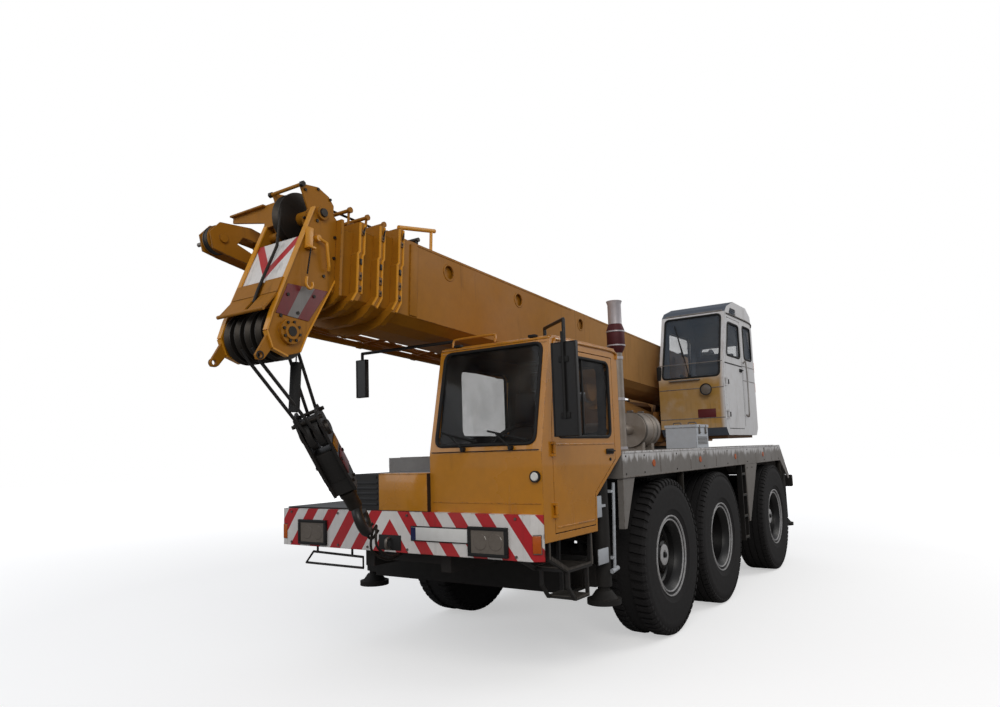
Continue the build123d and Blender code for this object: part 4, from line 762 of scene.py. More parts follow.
def makeRim(number, side):
    sign = 1 if side == "left" else -1
    driven = number != 2
    bm = bmesh.new()

    def out(profile):
        return [(sign * x, r) for x, r in profile]
    addLathe(bm, out(rimLook["flange"]), steps=64)
    addLathe(bm, out(rimLook["lip"]), steps=64, slot=1)
    addLathe(bm, out(rimLook["ring"]), steps=64)
    addLathe(bm, out(rimLook["cone"]), steps=64, slot=1)
    addLathe(bm, out(rimLook["barrel"]), steps=64, slot=1)
    disc = rimLook["disc"][driven]
    radius, face = rimLook["cap"][driven]
    addLathe(bm, out([(0.088, 0.263), (disc + 0.012, 0.252), (disc, 0.236), (disc, radius + 0.02),
                      (disc + 0.008, radius + 0.006),
                      (disc + 0.008, 0.0), (-0.008, 0.0), (-0.008, 0.10), (disc - 0.026, 0.10),
                      (disc - 0.026, 0.240), (0.070, 0.262)]),
             steps=64, slot=1)
    addLathe(bm, out([(-0.118, 0.0465), (-0.118, 0.100), (disc - 0.014, 0.110), (disc - 0.014, 0.100),
                      (-0.008, 0.100), (-0.008, 0.0465)]),
             steps=48, slot=1)
    seat = max(disc, -0.008)     # the cap closes clear of the spindle's end
    addLathe(bm, out([(seat, radius - 0.004), (seat + 0.004, radius), (face - 0.024, radius),
                      (face - 0.014, radius - 0.006),
                      (face - 0.004, radius - 0.030), (face - 0.012, radius - 0.034), (face - 0.012, 0.0),
                      (seat, 0.0)]),
             steps=48, slot=1)
    addLathe(bm, out([(face - 0.014, radius - 0.034), (face - 0.002, radius - 0.036), (face, radius - 0.042),
                      (face, 0.040),
                      (face - 0.008, 0.034), (face - 0.008, 0.0), (face - 0.014, 0.0)]), steps=48,
                      slot=0 if driven else 1)
    addLathe(bm, out([(face - 0.012, 0.026), (face + 0.012, 0.024), (face + 0.016, 0.016),
                      (face + 0.016, 0.0), (face - 0.012, 0.0)]),
             steps=24, slot=1)
    for angle in around(rimLook["nuts"]):
        y, z = rimLook["nutCircle"] * math.cos(angle), rimLook["nutCircle"] * math.sin(angle)
        addRod(bm, (sign * disc, y, z), (sign * (disc + 0.024), y, z), 0.018, sides=6, slot=2)
        addRod(bm, (sign * disc, y, z), (sign * (disc + 0.040), y, z), 0.010, sides=8, slot=2)
    for angle in around(8, 0.3):
        y, z = 0.215 * math.cos(angle), 0.215 * math.sin(angle)
        addRod(bm, (sign * (disc - 0.01), y, z), (sign * (disc + 0.0035), y, z), 0.020, sides=14, slot=3)
    if driven:
        for angle in around(6, 0.2):
            y, z = (radius - 0.018) * math.cos(angle), (radius - 0.018) * math.sin(angle)
            addRod(bm, (sign * (face - 0.03), y, z), (sign * (face - 0.002), y, z), 0.008, sides=6, slot=2)
    addRod(bm, (sign * 0.10, 0.0, 0.272), (sign * 0.165, 0.0, 0.300), 0.006, sides=8, slot=3)
    joint = joints[f"wheel_{number}_{side}_spin"]
    makePiece(f"rim_{number}_{side}_dressed", bm, ["silver", "rimBlack", "darkSteel", "rubber"],
              f"wheel_{number}_{side}",
              Matrix.Translation(joint["pos_m"]), [f"rim_{number}_{side}"])


for number in (1, 2, 3):
    for side in ("left", "right"):
        makeTyre(number, side)
        makeRim(number, side)
stage("wheels")


# Driver's cab
cab = {
    "inner": 0.310, "front": 0.045, "sill": 1.640, "brow": (0.205, 2.395), "rear": 1.250,
    "screen": [(0.362, 1.692), (0.362, 2.372), (1.195, 2.372), (1.195, 1.692)],
    "doorWindow": [(0.262, 1.730), (0.325, 2.300), (1.075, 2.300), (1.075, 1.730)],
    "innerWindow": [(0.400, 1.760), (0.400, 2.280), (1.050, 2.280), (1.050, 1.760)],
    "rearWindow": [(0.500, 1.760), (0.500, 2.300), (1.080, 2.300), (1.080, 1.760)],
    "seal": 0.013,
}


def cabFront(z):
    (y0, z0), (y1, z1) = (cab["front"], cab["sill"]), cab["brow"]
    return y0 if z < z0 else y0 + (y1 - y0) * (z - z0) / (z1 - z0)


def addSeal(bm, outline, radius, place, thick, slot=0):
    addTube(bm, [place(a, b) for a, b in roundOutline(outline, radius)], thick, sides=8, closed=True,
            slot=slot)


def makeCabTrim():
    bm = bmesh.new()
    addSeal(bm, cab["screen"], 0.06, lambda x, z: (x, cabFront(z) - 0.001, z), cab["seal"])
    addSeal(bm, cab["innerWindow"], 0.06, lambda y, z: (cab["inner"] - 0.001, y, z), 0.011)
    addSeal(bm, cab["rearWindow"], 0.06, lambda x, z: (x, cab["rear"] + 0.001, z), 0.011)
    for x, tip in ((0.62, 0.44), (1.02, 0.84)):
        y = cabFront(1.67)
        addRod(bm, (x, y, 1.665), (x, y - 0.035, 1.665), 0.014)
        addTube(bm, smoothPath([(x, y - 0.03, 1.665), (x - 0.03, y - 0.036, 1.70),
                                (tip + 0.06, cabFront(1.76) - 0.03, 1.76)]), 0.006)
        addTube(bm, [(tip + 0.30, cabFront(1.715) - 0.022, 1.715),
                     (tip - 0.02, cabFront(1.79) - 0.022, 1.785)], 0.007)
    addBox(bm, (0.33, cab["front"] - 0.006, 1.646), (1.23, cab["front"] + 0.004, 1.652))
    addRod(bm, (1.200, 0.046, 1.475), (1.200, 0.026, 1.475), 0.038)
    for x in (0.45, 1.10):
        addBox(bm, (x - 0.03, 0.215, 2.420), (x + 0.03, 0.26, 2.440), 0.006)
    makePiece("cab_trim", bm, ["rubber"], "carrier")

    bm = bmesh.new()
    addTube(bm, smoothPath([(1.256, 0.245, 2.30), (1.256, 0.262, 2.385), (1.256, 0.32, 2.398),
                            (1.256, 0.75, 2.402), (1.256, 1.19, 2.398),
                            (1.256, 1.235, 2.34)], 4), 0.010)
    addTube(bm, smoothPath([(0.40, 0.235, 2.425), (0.40, 0.245, 2.470), (0.44, 0.25, 2.485),
                            (0.74, 0.25, 2.485), (0.78, 0.245, 2.470),
                            (0.78, 0.235, 2.425)], 4), 0.009)
    addBox(bm, (0.315, 0.20, 2.395), (1.245, 0.222, 2.412), 0.004)
    for z in (1.300, 2.376):
        addBox(bm, (0.33, cabFront(z) - 0.003, z - 0.004), (1.235, cabFront(z) + 0.003, z + 0.004))
    for y in (0.30, 0.62, 0.94):
        addBox(bm, (0.33, y, 2.424), (1.23, y + 0.03, 2.431), 0.003)
    makePiece("cab_gutters", bm, ["yellow"], "carrier")

    bm = bmesh.new()
    addRod(bm, (1.200, 0.030, 1.475), (1.200, 0.018, 1.475), 0.031, 0.024, sides=20)
    makePiece("cab_marker_lamp", bm, ["whitePlate"], "carrier")


def makeCabDoorTrim():
    bm = bmesh.new()
    addSeal(bm, cab["doorWindow"], 0.06, lambda y, z: (1.2505, y, z), 0.012)
    addBox(bm, (1.249, 0.985, 1.600), (1.262, 1.105, 1.640), 0.006)
    addTube(bm, smoothPath([(1.256, 0.995, 1.622), (1.280, 1.01, 1.622), (1.280, 1.08, 1.622),
                            (1.256, 1.095, 1.622)], 4), 0.006)
    addRod(bm, (1.250, 1.05, 1.560), (1.257, 1.05, 1.560), 0.012)
    for a, b in (((0.655, 1.745), (0.655, 2.29)),):
        addBox(bm, (1.238, a[0] - 0.006, a[1]), (1.252, b[0] + 0.006, b[1]))
    makePiece("driver_door_trim", bm, ["rubber"], "driver_door_leaf")
    bm = bmesh.new()
    for z0, z1 in ((1.128, 1.140), (1.672, 1.684)):
        addBox(bm, (1.249, 0.215 if z0 < 1.5 else 0.20, z0), (1.254, 0.755 if z0 < 1.5 else 1.12, z1), 0.002)
    makePiece("driver_door_creases", bm, ["yellow"], "driver_door_leaf")


def makeCabInside():
    bm = bmesh.new()
    for x in (0.55, 0.62, 0.97, 1.04):
        addRod(bm, (x, 0.285, 1.585), (x, 0.262, 1.60), 0.032)
    addTube(bm, smoothPath([(0.62, 0.44, 1.09), (0.61, 0.42, 1.35), (0.60, 0.40, 1.50)]), 0.010)
    addBall(bm, (0.60, 0.40, 1.51), 0.026)
    for z in (1.44, 1.86):
        addBox(bm, (0.575, 0.80 if z > 1.5 else 0.34, z), (1.005, 0.83 if z > 1.5 else 0.78, z + 0.03), 0.01)
    addBox(bm, (0.66, 0.875, 2.10), (0.92, 0.955, 2.26), 0.03)
    makePiece("cab_controls", bm, ["plastic"], "carrier")


makeCabTrim()
makeCabDoorTrim()
makeCabInside()

# Bumper: lamp bezels, blank plate, towing eye, bolts
bumper = {"lamps": ((0.690, 0.990), (-1.040, -0.735)), "lampZ": (0.963, 1.135),
          "plate": ((0.167, 0.678), (1.035, 1.125))}


def makeBumperTrim():
    bm = bmesh.new()
    z0, z1 = bumper["lampZ"]
    for x0, x1 in bumper["lamps"]:
        for low, high in (((x0 - 0.012, -0.022, z0 - 0.012), (x1 + 0.012, 0.002, z0 + 0.010)),
                          ((x0 - 0.012, -0.022, z1 - 0.010), (x1 + 0.012, 0.002, z1 + 0.012)),
                          ((x0 - 0.012, -0.022, z0 + 0.010), (x0 + 0.014, 0.002, z1 - 0.010)),
                          ((x1 - 0.014, -0.022, z0 + 0.010), (x1 + 0.012, 0.002, z1 - 0.010))):
            addBox(bm, low, high, 0.004)
    (x0, x1), (z0, z1) = bumper["plate"]
    addBox(bm, (x0 - 0.008, -0.008, z0 - 0.008), (x1 + 0.008, 0.001, z1 + 0.008), 0.003)
    addBox(bm, (-0.16, -0.006, 0.950), (0.06, 0.002, 1.060), 0.004)
    makePiece("bumper_bezels", bm, ["rubber"], "carrier")
    bm = bmesh.new()
    addBox(bm, (x0, -0.0125, z0), (x1, -0.007, z1), 0.002)
    addBox(bm, (x0 + 0.001, -0.0135, z0 + 0.001), (x0 + 0.045, -0.0120, z1 - 0.001), slot=1)
    makePiece("front_plate_blank", bm, ["whitePlate", "plateBlue"], "carrier")
    bm = bmesh.new()
    for x0, x1 in bumper["lamps"]:
        z0, z1 = bumper["lampZ"]
        for share in (0.30, 0.72):
            x = x0 + (x1 - x0) * share
            addRod(bm, (x, -0.0125, (z0 + z1) / 2), (x, -0.0180, (z0 + z1) / 2), 0.058, 0.052, sides=28)
    makePiece("headlamp_reflectors", bm, ["lampGlass"], "carrier")
    bm = bmesh.new()
    for x in (-1.15, -0.60, -0.28, 0.12, 1.06):
        for z in (0.962, 1.205):
            addRod(bm, (x, 0.002, z), (x, -0.007, z), 0.010, sides=6)
    addTube(bm, smoothPath([(-0.05, 0.01, 1.04), (-0.05, -0.035, 1.03), (-0.05, -0.045, 1.0),
                            (-0.05, -0.035, 0.97), (-0.05, 0.01, 0.96)], 5), 0.012)
    makePiece("bumper_bolts", bm, ["steel"], "carrier")
    bm = bmesh.new()
    addBox(bm, (1.185, -0.004, 0.990), (1.240, 0.004, 1.100), 0.003,
           Matrix.Rotation(math.radians(30.3), 4, "Z"))
    bmesh.ops.translate(bm, vec=(0.0, 0.009, 0.0), verts=bm.verts)
    addBox(bm, (-1.2515, -0.004, 0.988), (-1.206, 0.006, 1.102), 0.003)
    makePiece("indicator_lenses", bm, ["amber"], "carrier")
    bm = bmesh.new()
    for side in (1, -1):
        for x0, x1 in ((1.104, 1.244),):
            addBox(bm, (min(side * x0, side * x1), 7.0800, 1.024), (max(side * x0, side * x1), 7.0880, 1.166),
                   0.004)
    makePiece("tail_lenses", bm, ["red"], "carrier")
    bm = bmesh.new()
    addTube(bm, [(-0.43, 0.10, 0.865), (-1.00, 0.10, 0.878), (-1.09, 0.10, 0.785), (-0.43, 0.10, 0.782)],
            0.010, closed=True)
    for x in (-0.55, -0.95):
        addRod(bm, (x, 0.10, 0.868), (x, 0.10, 0.94), 0.009)
    makePiece("front_step_frame", bm, ["black"], "carrier")


makeBumperTrim()


# Steps and rails below the cab, plates and pipe on the front left jack
def makeStepEdges():
    bm = bmesh.new()
    for k in range(12):
        y = 0.135 + 0.018 * k
        z = 0.952 - 0.1076 / 0.225 * (y - 0.13)
        addBox(bm, (1.236, y, z - 0.020), (1.2445, y + 0.011, z + 0.006))
    for k in range(18):
        y = 0.358 + 0.018 * k
        addBox(bm, (1.228, y, 0.838), (1.2445, y + 0.012, 0.852))
        addBox(bm, (0.965, y, 0.842), (1.228, y + 0.004, 0.849))
    for k in range(10):
        y = 0.450 + 0.019 * k
        addBox(bm, (1.228, y, 0.634), (1.2445, y + 0.012, 0.646))
        addBox(bm, (1.015, y, 0.639), (1.228, y + 0.004, 0.645))
    addRod(bm, (1.238, 0.120, 0.94), (1.238, 0.120, 1.046), 0.007)
    addRod(bm, (1.238, 0.702, 0.83), (1.238, 0.702, 1.046), 0.007)
    makePiece("step_edges", bm, ["steel"], "carrier")
    bm = bmesh.new()
    addBox(bm, (1.186, 0.895, 0.785), (1.194, 1.065, 0.900), 0.004)
    addBox(bm, (1.186, 0.835, 1.130), (1.194, 0.985, 1.290), 0.004)
    addBox(bm, (1.150, 1.00, 0.84), (1.188, 1.06, 0.86))
    addBox(bm, (1.150, 0.95, 1.20), (1.188, 1.06, 1.22))
    addTube(bm, [(1.196, 1.195, 1.375), (1.196, 1.150, 0.72)], 0.012)
    addRod(bm, (1.196, 1.100, 0.712), (1.196, 1.205, 0.726), 0.018)
    addBox(bm, (1.15, 1.14, 1.30), (1.20, 1.19, 1.32))
    addBox(bm, (1.15, 1.12, 0.80), (1.20, 1.16, 0.82))
    makePiece("jack_plates_front_left", bm, ["grey"], "outrigger_front_left")
    bm = bmesh.new()
    for z in (0.571, 0.811, 1.051, 1.291):
        addBox(bm, (1.185, 4.532, z + 0.008), (1.2475, 4.668, z + 0.0135))
        for k in range(9):
            addBox(bm, (1.238, 4.536 + 0.0148 * k, z + 0.008), (1.2478, 4.544 + 0.0148 * k, z + 0.018))
    makePiece("ladder_rung_edges", bm, ["steel"], "carrier")


makeStepEdges()
stage("cab, bumper and steps")


# Boom: local places are (left, minus station, height) in the boom's own frame
boom = {
    "mouths": (("boom", 6.640, 0), ("section_2", 6.805, 1), ("section_3", 6.970, 2)),
    "step": 0.024, "half": 0.310, "top": 0.313, "low": -0.337, "proud": 0.042,
    "plateX": 0.232, "lower": (7.473, -0.527), "upper": (7.264, 0.290), "upperR": 0.180,
    "ropeT": 0.457, "holes": (1.300, 3.900, 5.060, 6.050),
}


def at(x, s, t):
    return (x, -s, t)


def collarLine(s, lift, sign):
    top = boom["top"] - boom["step"] * lift + boom["proud"] - 0.012
    foot = boom["low"] + boom["step"] * lift + 0.035
    lead = [(s - 0.020, top), (s - 0.020, 0.092), (s - 0.006, 0.071), (s - 0.006, -0.188),
            (s + 0.038, -0.262)]
    back = [(s + 0.020, top), (s + 0.020, 0.098), (s + 0.034, 0.079), (s + 0.034, -0.181),
            (s + 0.078, -0.252)]
    x = sign * (boom["half"] - boom["step"] * lift + boom["proud"] + 0.001)
    return [[at(x, a, t) for a, t in line if t > foot] for line in (lead, back)]


def makeCollars():
    for body, s, lift in boom["mouths"]:
        bm = bmesh.new()
        side = boom["half"] - boom["step"] * lift + boom["proud"]
        top = boom["top"] - boom["step"] * lift + boom["proud"]
        for sign in (1, -1):
            # The collar's edge lines take the brighter yellow, a painted highlight
            for line in collarLine(s, lift, sign):
                addTube(bm, line, 0.009, sides=6, slot=2)
            for t, high in ((0.235, 0.020), (-0.070, 0.026), (-0.155, 0.020)):
                x0, x1 = sorted((sign * side, sign * (side + 0.010)))
                shift = 0.014 if t < 0.08 else 0.0
                addBox(bm, at(x0, s + shift + 0.015, t - high), at(x1, s + shift - 0.015, t + high), 0.003)
                addRod(bm, at(sign * side, s + shift, t), at(sign * (side + 0.017), s + shift, t), 0.008,
                       sides=6, slot=1)
        for x in (-0.20, -0.07, 0.07, 0.20):
            addBox(bm, at(x - 0.028, s + 0.017, top - 0.002), at(x + 0.028, s - 0.017, top + 0.011), 0.003)
            addRod(bm, at(x, s, top), at(x, s, top + 0.018), 0.008, sides=6, slot=1)
        makePiece(f"collar_{lift}_edges", bm, ["dirtyYellow", "darkSteel", "edgeHighlightYellow"], body, toBoom)
        bm = bmesh.new()
        for sign in (1, -1):
            x = sign * (side + 0.012)
            path = [at(x, s - 0.012 + 0.0025 * k, top - 0.040 - 0.013 * k) for k in range(4)]
            for k, place in enumerate(path):
                addBox(bm, Vector(place) - Vector((0.004, 0.005, 0.0075)),
                       Vector(place) + Vector((0.004, 0.005, 0.0075)), 0.0025,
                       Matrix.Rotation(math.pi / 2 * (k % 2), 4, "Z"))
            x0, x1 = sorted((sign * side, sign * (side + 0.008)))
            addBox(bm, at(x0, s + 0.018, 0.010), at(x1, s - 0.002, 0.050), 0.002)
        for x in (-0.115, 0.165):
            addRod(bm, at(x, s, top), at(x, s, boom["ropeT"] - 0.040), 0.009, slot=1)
        addRod(bm, at(-0.130, s, boom["ropeT"] - 0.034), at(0.185, s, boom["ropeT"] - 0.034), 0.013, slot=1)
        for x in (-0.130, 0.170):
            addRod(bm, at(x, s, boom["ropeT"] - 0.034), at(x + 0.016, s, boom["ropeT"] - 0.034), 0.021,
                   slot=1)
        makePiece(f"collar_{lift}_guide", bm, ["darkSteel", "boomYellow"], body, toBoom)


def makeBoomTrim():
    bm = bmesh.new()
    for s in boom["holes"]:
        for sign in (1, -1):
            x = sign * boom["half"]
            addLathe(bm, [(-0.001, 0.052), (0.004, 0.053), (0.006, 0.060), (0.004, 0.068), (-0.001, 0.070)],
                     at(x, s, 0.190), steps=32)
    for sign in (1, -1):
        for s0, s1 in ((-0.14, 1.10), (1.50, 3.70), (4.10, 6.42)):
            addTube(bm, [at(sign * 0.3105, s0, -0.243), at(sign * 0.3105, s1, -0.243)], 0.0045, sides=6)
            addTube(bm, [at(sign * 0.3105, s0, 0.296), at(sign * 0.3105, s1, 0.296)], 0.0035, sides=6)
    for s, depth in ((0.40, 0.012), (6.46, 0.010)):
        for sign in (1, -1):
            x0, x1 = sorted((sign * 0.310, sign * (0.310 + depth)))
            addBox(bm, at(x0, s + 0.04, -0.238), at(x1, s - 0.04, 0.290), 0.003)
        addBox(bm, at(-0.30, s + 0.04, 0.312), at(0.30, s - 0.04, 0.312 + depth), 0.003)
    for s in (0.9, 2.1, 3.3, 4.5, 5.7):
        addBox(bm, at(-0.305, s + 0.006, 0.312), at(0.305, s - 0.006, 0.3155))
    makePiece("boom_welds", bm, ["boomYellow"], "boom", toBoom)

    bm = bmesh.new()
    for sign in (1, -1):
        for k in range(8):
            a = math.tau * k / 8
            s, t = 0.088 * math.cos(a), 0.088 * math.sin(a)
            addRod(bm, at(sign * 0.309, s, t), at(sign * 0.322, s, t), 0.010, sides=6)
    for s in (0.15, 6.25):
        for x in (-0.10, 0.15):
            addRod(bm, at(x, s, 0.31), at(x, s, boom["ropeT"] - 0.03), 0.012)
        addRod(bm, at(-0.12, s, boom["ropeT"] - 0.030), at(0.17, s, boom["ropeT"] - 0.030), 0.017)
    addTube(bm, smoothPath([at(-0.24, 0.10, 0.335), at(-0.24, 1.5, 0.330), at(-0.24, 4.0, 0.330),
                            at(-0.24, 6.35, 0.335)], 4), 0.012)
    addTube(bm, smoothPath([at(-0.20, 0.10, 0.333), at(-0.20, 1.5, 0.328), at(-0.20, 4.0, 0.328),
                            at(-0.20, 6.35, 0.333)], 4), 0.012)
    for s in (0.6, 1.8, 3.0, 4.2, 5.4):
        addBox(bm, at(-0.265, s + 0.015, 0.312), at(-0.175, s - 0.015, 0.350), 0.004)
    addTube(bm, [at(0.285, 6.60, 0.392), at(0.285, 6.20, 0.485)], 0.016, slot=1)
    addRod(bm, at(0.285, 6.575, 0.305), at(0.285, 6.575, 0.400), 0.012, slot=1)
    addRod(bm, at(0.285, 6.240, 0.305), at(0.285, 6.240, 0.478), 0.012, slot=1)
    makePiece("boom_pipes", bm, ["darkSteel", "edgeHighlightYellow"], "boom", toBoom)

    for body, s0, s1 in (("boom", 0.15, 6.70), ("section_2", 1.70, 6.83), ("section_3", 1.86, 7.00),
                         ("section_4", 2.05, 7.264)):
        bm = bmesh.new()
        addTube(bm, [at(0, s0, boom["ropeT"]), at(0, s1, boom["ropeT"])], 0.009, sides=8)
        makePiece(f"hoist_rope_{body}", bm, ["rope"], body, toBoom)
    bm = bmesh.new()
    reach = boom["upperR"] - 0.013
    s, t = boom["upper"]
    arc = [at(0.0 + 0.036 * k / 12, s + reach * math.sin(math.radians(8 * k)),
              t + reach * math.cos(math.radians(8 * k)))
           for k in range(13)]
    addTube(bm, arc + [at(0.040, 7.448, 0.060), at(0.040, 7.510, -0.100), at(0.040, 7.568, -0.250),
                       at(0.045, 7.600, -0.345)],
            0.010, sides=8)
    makePiece("hoist_rope_head", bm, ["rope"], "section_4", toBoom)


def makeHead():
    # The flange strips along the head's front edge take the brighter yellow, a painted highlight
    bm = bmesh.new()
    front = [(7.324, 0.312), (7.473, -0.083), (7.601, -0.428), (7.634, -0.545), (7.590, -0.640),
             (7.480, -0.672)]
    for sign in (1, -1):
        x0, x1 = sign * (boom["plateX"] - 0.026), sign * (boom["plateX"] + 0.012)
        for (s0, t0), (s1, t1) in zip(front, front[1:]):
            run = Vector((s1 - s0, t1 - t0)).normalized() * 0.010
            out = Vector((run.y, -run.x)) * -1.0
            ring = [(s0, t0), (s1, t1), (s1 + out.x, t1 + out.y), (s0 + out.x, t0 + out.y)]
            addPlate(bm, [(-s, t) for s, t in ring], "X", min(x0, x1), max(x0, x1))
        addTube(bm, [at(sign * boom["plateX"], s, t) for s,
                     t in ((7.385, -0.636), (7.345, -0.536), (7.168, -0.200), (7.090, -0.050))],
                0.007, sides=6)
    makePiece("head_flange", bm, ["edgeHighlightYellow"], "section_4", toBoom)

    bm = bmesh.new()
    for sign in (1, -1):
        x = sign * (boom["plateX"] + 0.022)
        s, t = boom["lower"]
        for angle in around(8, 0.2):
            a, b = s + 0.060 * math.cos(angle), t + 0.060 * math.sin(angle)
            addRod(bm, at(x, a, b), at(x + sign * 0.010, a, b), 0.009, sides=6)
        addRod(bm, at(x, s, t), at(x + sign * 0.012, s, t), 0.034, 0.030, sides=20)
        x = sign * boom["plateX"]
        for a, b in ((7.150, 0.160), (7.150, 0.020), (7.230, -0.120), (7.300, -0.270), (7.420, -0.400),
                     (7.360, 0.080), (7.300, 0.230),
                     (7.500, -0.300), (7.545, -0.440)):
            addRod(bm, at(x, a, b), at(x + sign * 0.010, a, b), 0.011, sides=6)
        s, t = boom["upper"]
        x = sign * (boom["plateX"] + 0.020)
        addRod(bm, at(x, s, t), at(x + sign * 0.012, s, t), 0.030, 0.026, sides=18)
        s, t = 7.672, -0.698
        x = sign * boom["plateX"]
        addLathe(bm, [(-0.0005, 0.017), (0.004, 0.0175), (0.004, 0.025), (-0.0005, 0.026)],
                 at(x if sign > 0 else x - 0.0035, s, t), steps=24)
    addBox(bm, at(0.236, 7.395, 0.020), at(0.250, 7.335, 0.165), 0.004, slot=1)
    addBox(bm, at(0.236, 7.395, 0.020), at(0.282, 7.335, 0.034), 0.003, slot=1)
    addTube(bm, [at(0.252, 7.300, 0.110), at(0.266, 7.240, 0.090), at(0.266, 7.215, -0.060),
                 at(0.252, 7.205, -0.080)], 0.011, slot=1)
    addRod(bm, at(0.232, 7.300, 0.110), at(0.262, 7.300, 0.110), 0.020, slot=1)
    for k in range(10):
        a = at(0.272, 7.372 + 0.002 * k, 0.010 - 0.017 * k)
        addBox(bm, Vector(a) - Vector((0.004, 0.005, 0.009)), Vector(a) + Vector((0.004, 0.005, 0.009)),
               0.003,
               Matrix.Rotation(math.pi / 2 * (k % 2), 4, "Z"))
    addTube(bm, smoothPath([at(0.272, 7.392, -0.170), at(0.272, 7.396, -0.215), at(0.272, 7.370, -0.240),
                            at(0.272, 7.345, -0.222),
                            at(0.272, 7.352, -0.195)], 4), 0.009, slot=1)
    for x in (-0.130, 0.130):
        addRod(bm, at(x * 1.12, 7.366, 0.474), at(x * 1.30, 7.366, 0.474), 0.020, sides=6)
    for s, t in ((7.120, 0.452), (7.226, 0.490), (7.330, 0.450), (7.180, 0.330), (7.330, 0.260)):
        for sign in (1, -1):
            addRod(bm, at(sign * 0.140, s, t), at(sign * 0.152, s, t), 0.010, sides=6)
    makePiece("head_bolts", bm, ["darkSteel", "edgeHighlightYellow"], "section_4", toBoom)

    bm = bmesh.new()
    corners = ((7.3915, 0.108), (7.468, -0.083), (7.510, -0.200))
    x = boom["plateX"] - 0.026
    for (s0, t0), (s1, t1) in zip(corners, corners[1:]):
        step = Vector((s1 - s0, t1 - t0)).normalized()
        out = Vector((-step.y, step.x)) * 0.0035
        addPlate(bm, [(-(s0 + out.x), t0 + out.y), (-(s1 + out.x), t1 + out.y), (-s1, t1), (-s0, t0)], "X",
                 -x, x)
    makePiece("head_chevron", bm, ["chevron"], "section_4", toBoom)

    bm = bmesh.new()
    a, b, c, d = (Vector(place) for place in ((7.503, -0.232), (7.190, -0.212), (7.335, -0.437),
                                              (7.580, -0.429)))
    for k, (low, high) in enumerate(((0.0, 0.34), (0.34, 0.66), (0.66, 1.0))):
        first = [a.lerp(b, low), a.lerp(b, high), d.lerp(c, high), d.lerp(c, low)]
        for sign in (1, -1):
            x0, x1 = sorted((sign * boom["plateX"], sign * (boom["plateX"] + 0.0035)))
            addPlate(bm, [(-p.x, p.y) for p in first], "X", x0, x1, slot=k % 2)
    makePiece("head_bands", bm, ["bandRed", "bandGrey"], "section_4", toBoom)


makeCollars()
makeBoomTrim()
makeHead()


# Hook block: laid out hanging from the lower sheave, then leant and turned like the block
hookAxis = Matrix.Translation(joints["hook_swing"]["pos_m"])
hook = {"lean": math.radians(34.2), "twist": math.radians(40), "top": -0.560, "axle": -0.710, "foot": -1.180}
toHook = hookAxis @ Matrix.Rotation(hook["lean"], 4, "X") @ Matrix.Rotation(hook["twist"], 4, "Z")


def makeHook():
    bm = bmesh.new()
    for sign in (1, -1):
        x = sign * 0.082
        addRod(bm, (x, 0, hook["axle"]), (x + sign * 0.020, 0, hook["axle"]), 0.052, 0.046, sides=24)
        for y, z in ((0.060, -0.600), (-0.060, -0.600), (0.070, -0.930), (-0.070, -0.930), (0.035, -1.120),
                     (-0.035, -1.120)):
            addRod(bm, (x, y, z), (x + sign * 0.012, y, z), 0.013, sides=6)
        addBox(bm, (min(x, x + sign * 0.006), -0.085, -0.870), (max(x, x + sign * 0.006), 0.085, -0.800),
               0.003, slot=1)
        addBox(bm, (min(x, x + sign * 0.005), -0.085, -1.040), (max(x, x + sign * 0.005), 0.085, -0.900),
               0.003, slot=3)
    addBox(bm, (-0.0635, -0.066, -1.075), (0.0635, 0.066, -0.850), 0.006, slot=2)
    addRod(bm, (-0.105, 0.070, -0.600), (0.105, 0.070, -0.600), 0.013)
    addRod(bm, (-0.105, -0.070, -0.600), (0.105, -0.070, -0.600), 0.013)
    addLathe(bm, [(-1.345, 0.0), (-1.345, 0.030), (-1.330, 0.050), (-1.240, 0.052), (-1.225, 0.060),
                  (-1.195, 0.060), (-1.182, 0.0)],
             axis="Z", steps=32)
    addBox(bm, (-0.016, 0.020, -1.420), (0.016, 0.032, -1.330), 0.004)
    makePiece("hook_block_fittings", bm, ["darkSteel", "boomYellow", "black", "bandRed"], "hook", toHook)
    bm = bmesh.new()
    addRod(bm, (0.05, -0.942, 2.239), (0.05, -0.958, 1.933), 0.035, sides=24)
    addRod(bm, (0.05, -0.9415, 2.250), (0.05, -0.942, 2.236), 0.022, 0.030, sides=24)
    addTube(bm, [(0.05, -0.942, 2.245), (0.05, -0.925, 2.52)], 0.005, sides=6)
    makePiece("hoist_limit_weight", bm, ["rubber"], "section_4")
    bm = bmesh.new()
    addTube(bm, smoothPath([(0.03, -0.22, 1.155), (0.04, -0.275, 1.10), (0.02, -0.255, 0.98),
                            (0.02, -0.10, 0.90), (0.03, 0.03, 0.925),
                            (0.05, -0.12, 0.93), (0.06, -0.25, 1.02), (0.03, -0.22, 1.155)], 6), 0.009,
                            sides=8)
    addTube(bm, smoothPath([(0.02, -0.24, 1.17), (-0.02, -0.28, 1.12), (-0.01, -0.23, 1.06),
                            (0.03, -0.20, 1.12)], 5), 0.010, sides=8)
    makePiece("hook_lashing", bm, ["rope"], "carrier")


makeHook()
stage("boom and hook")


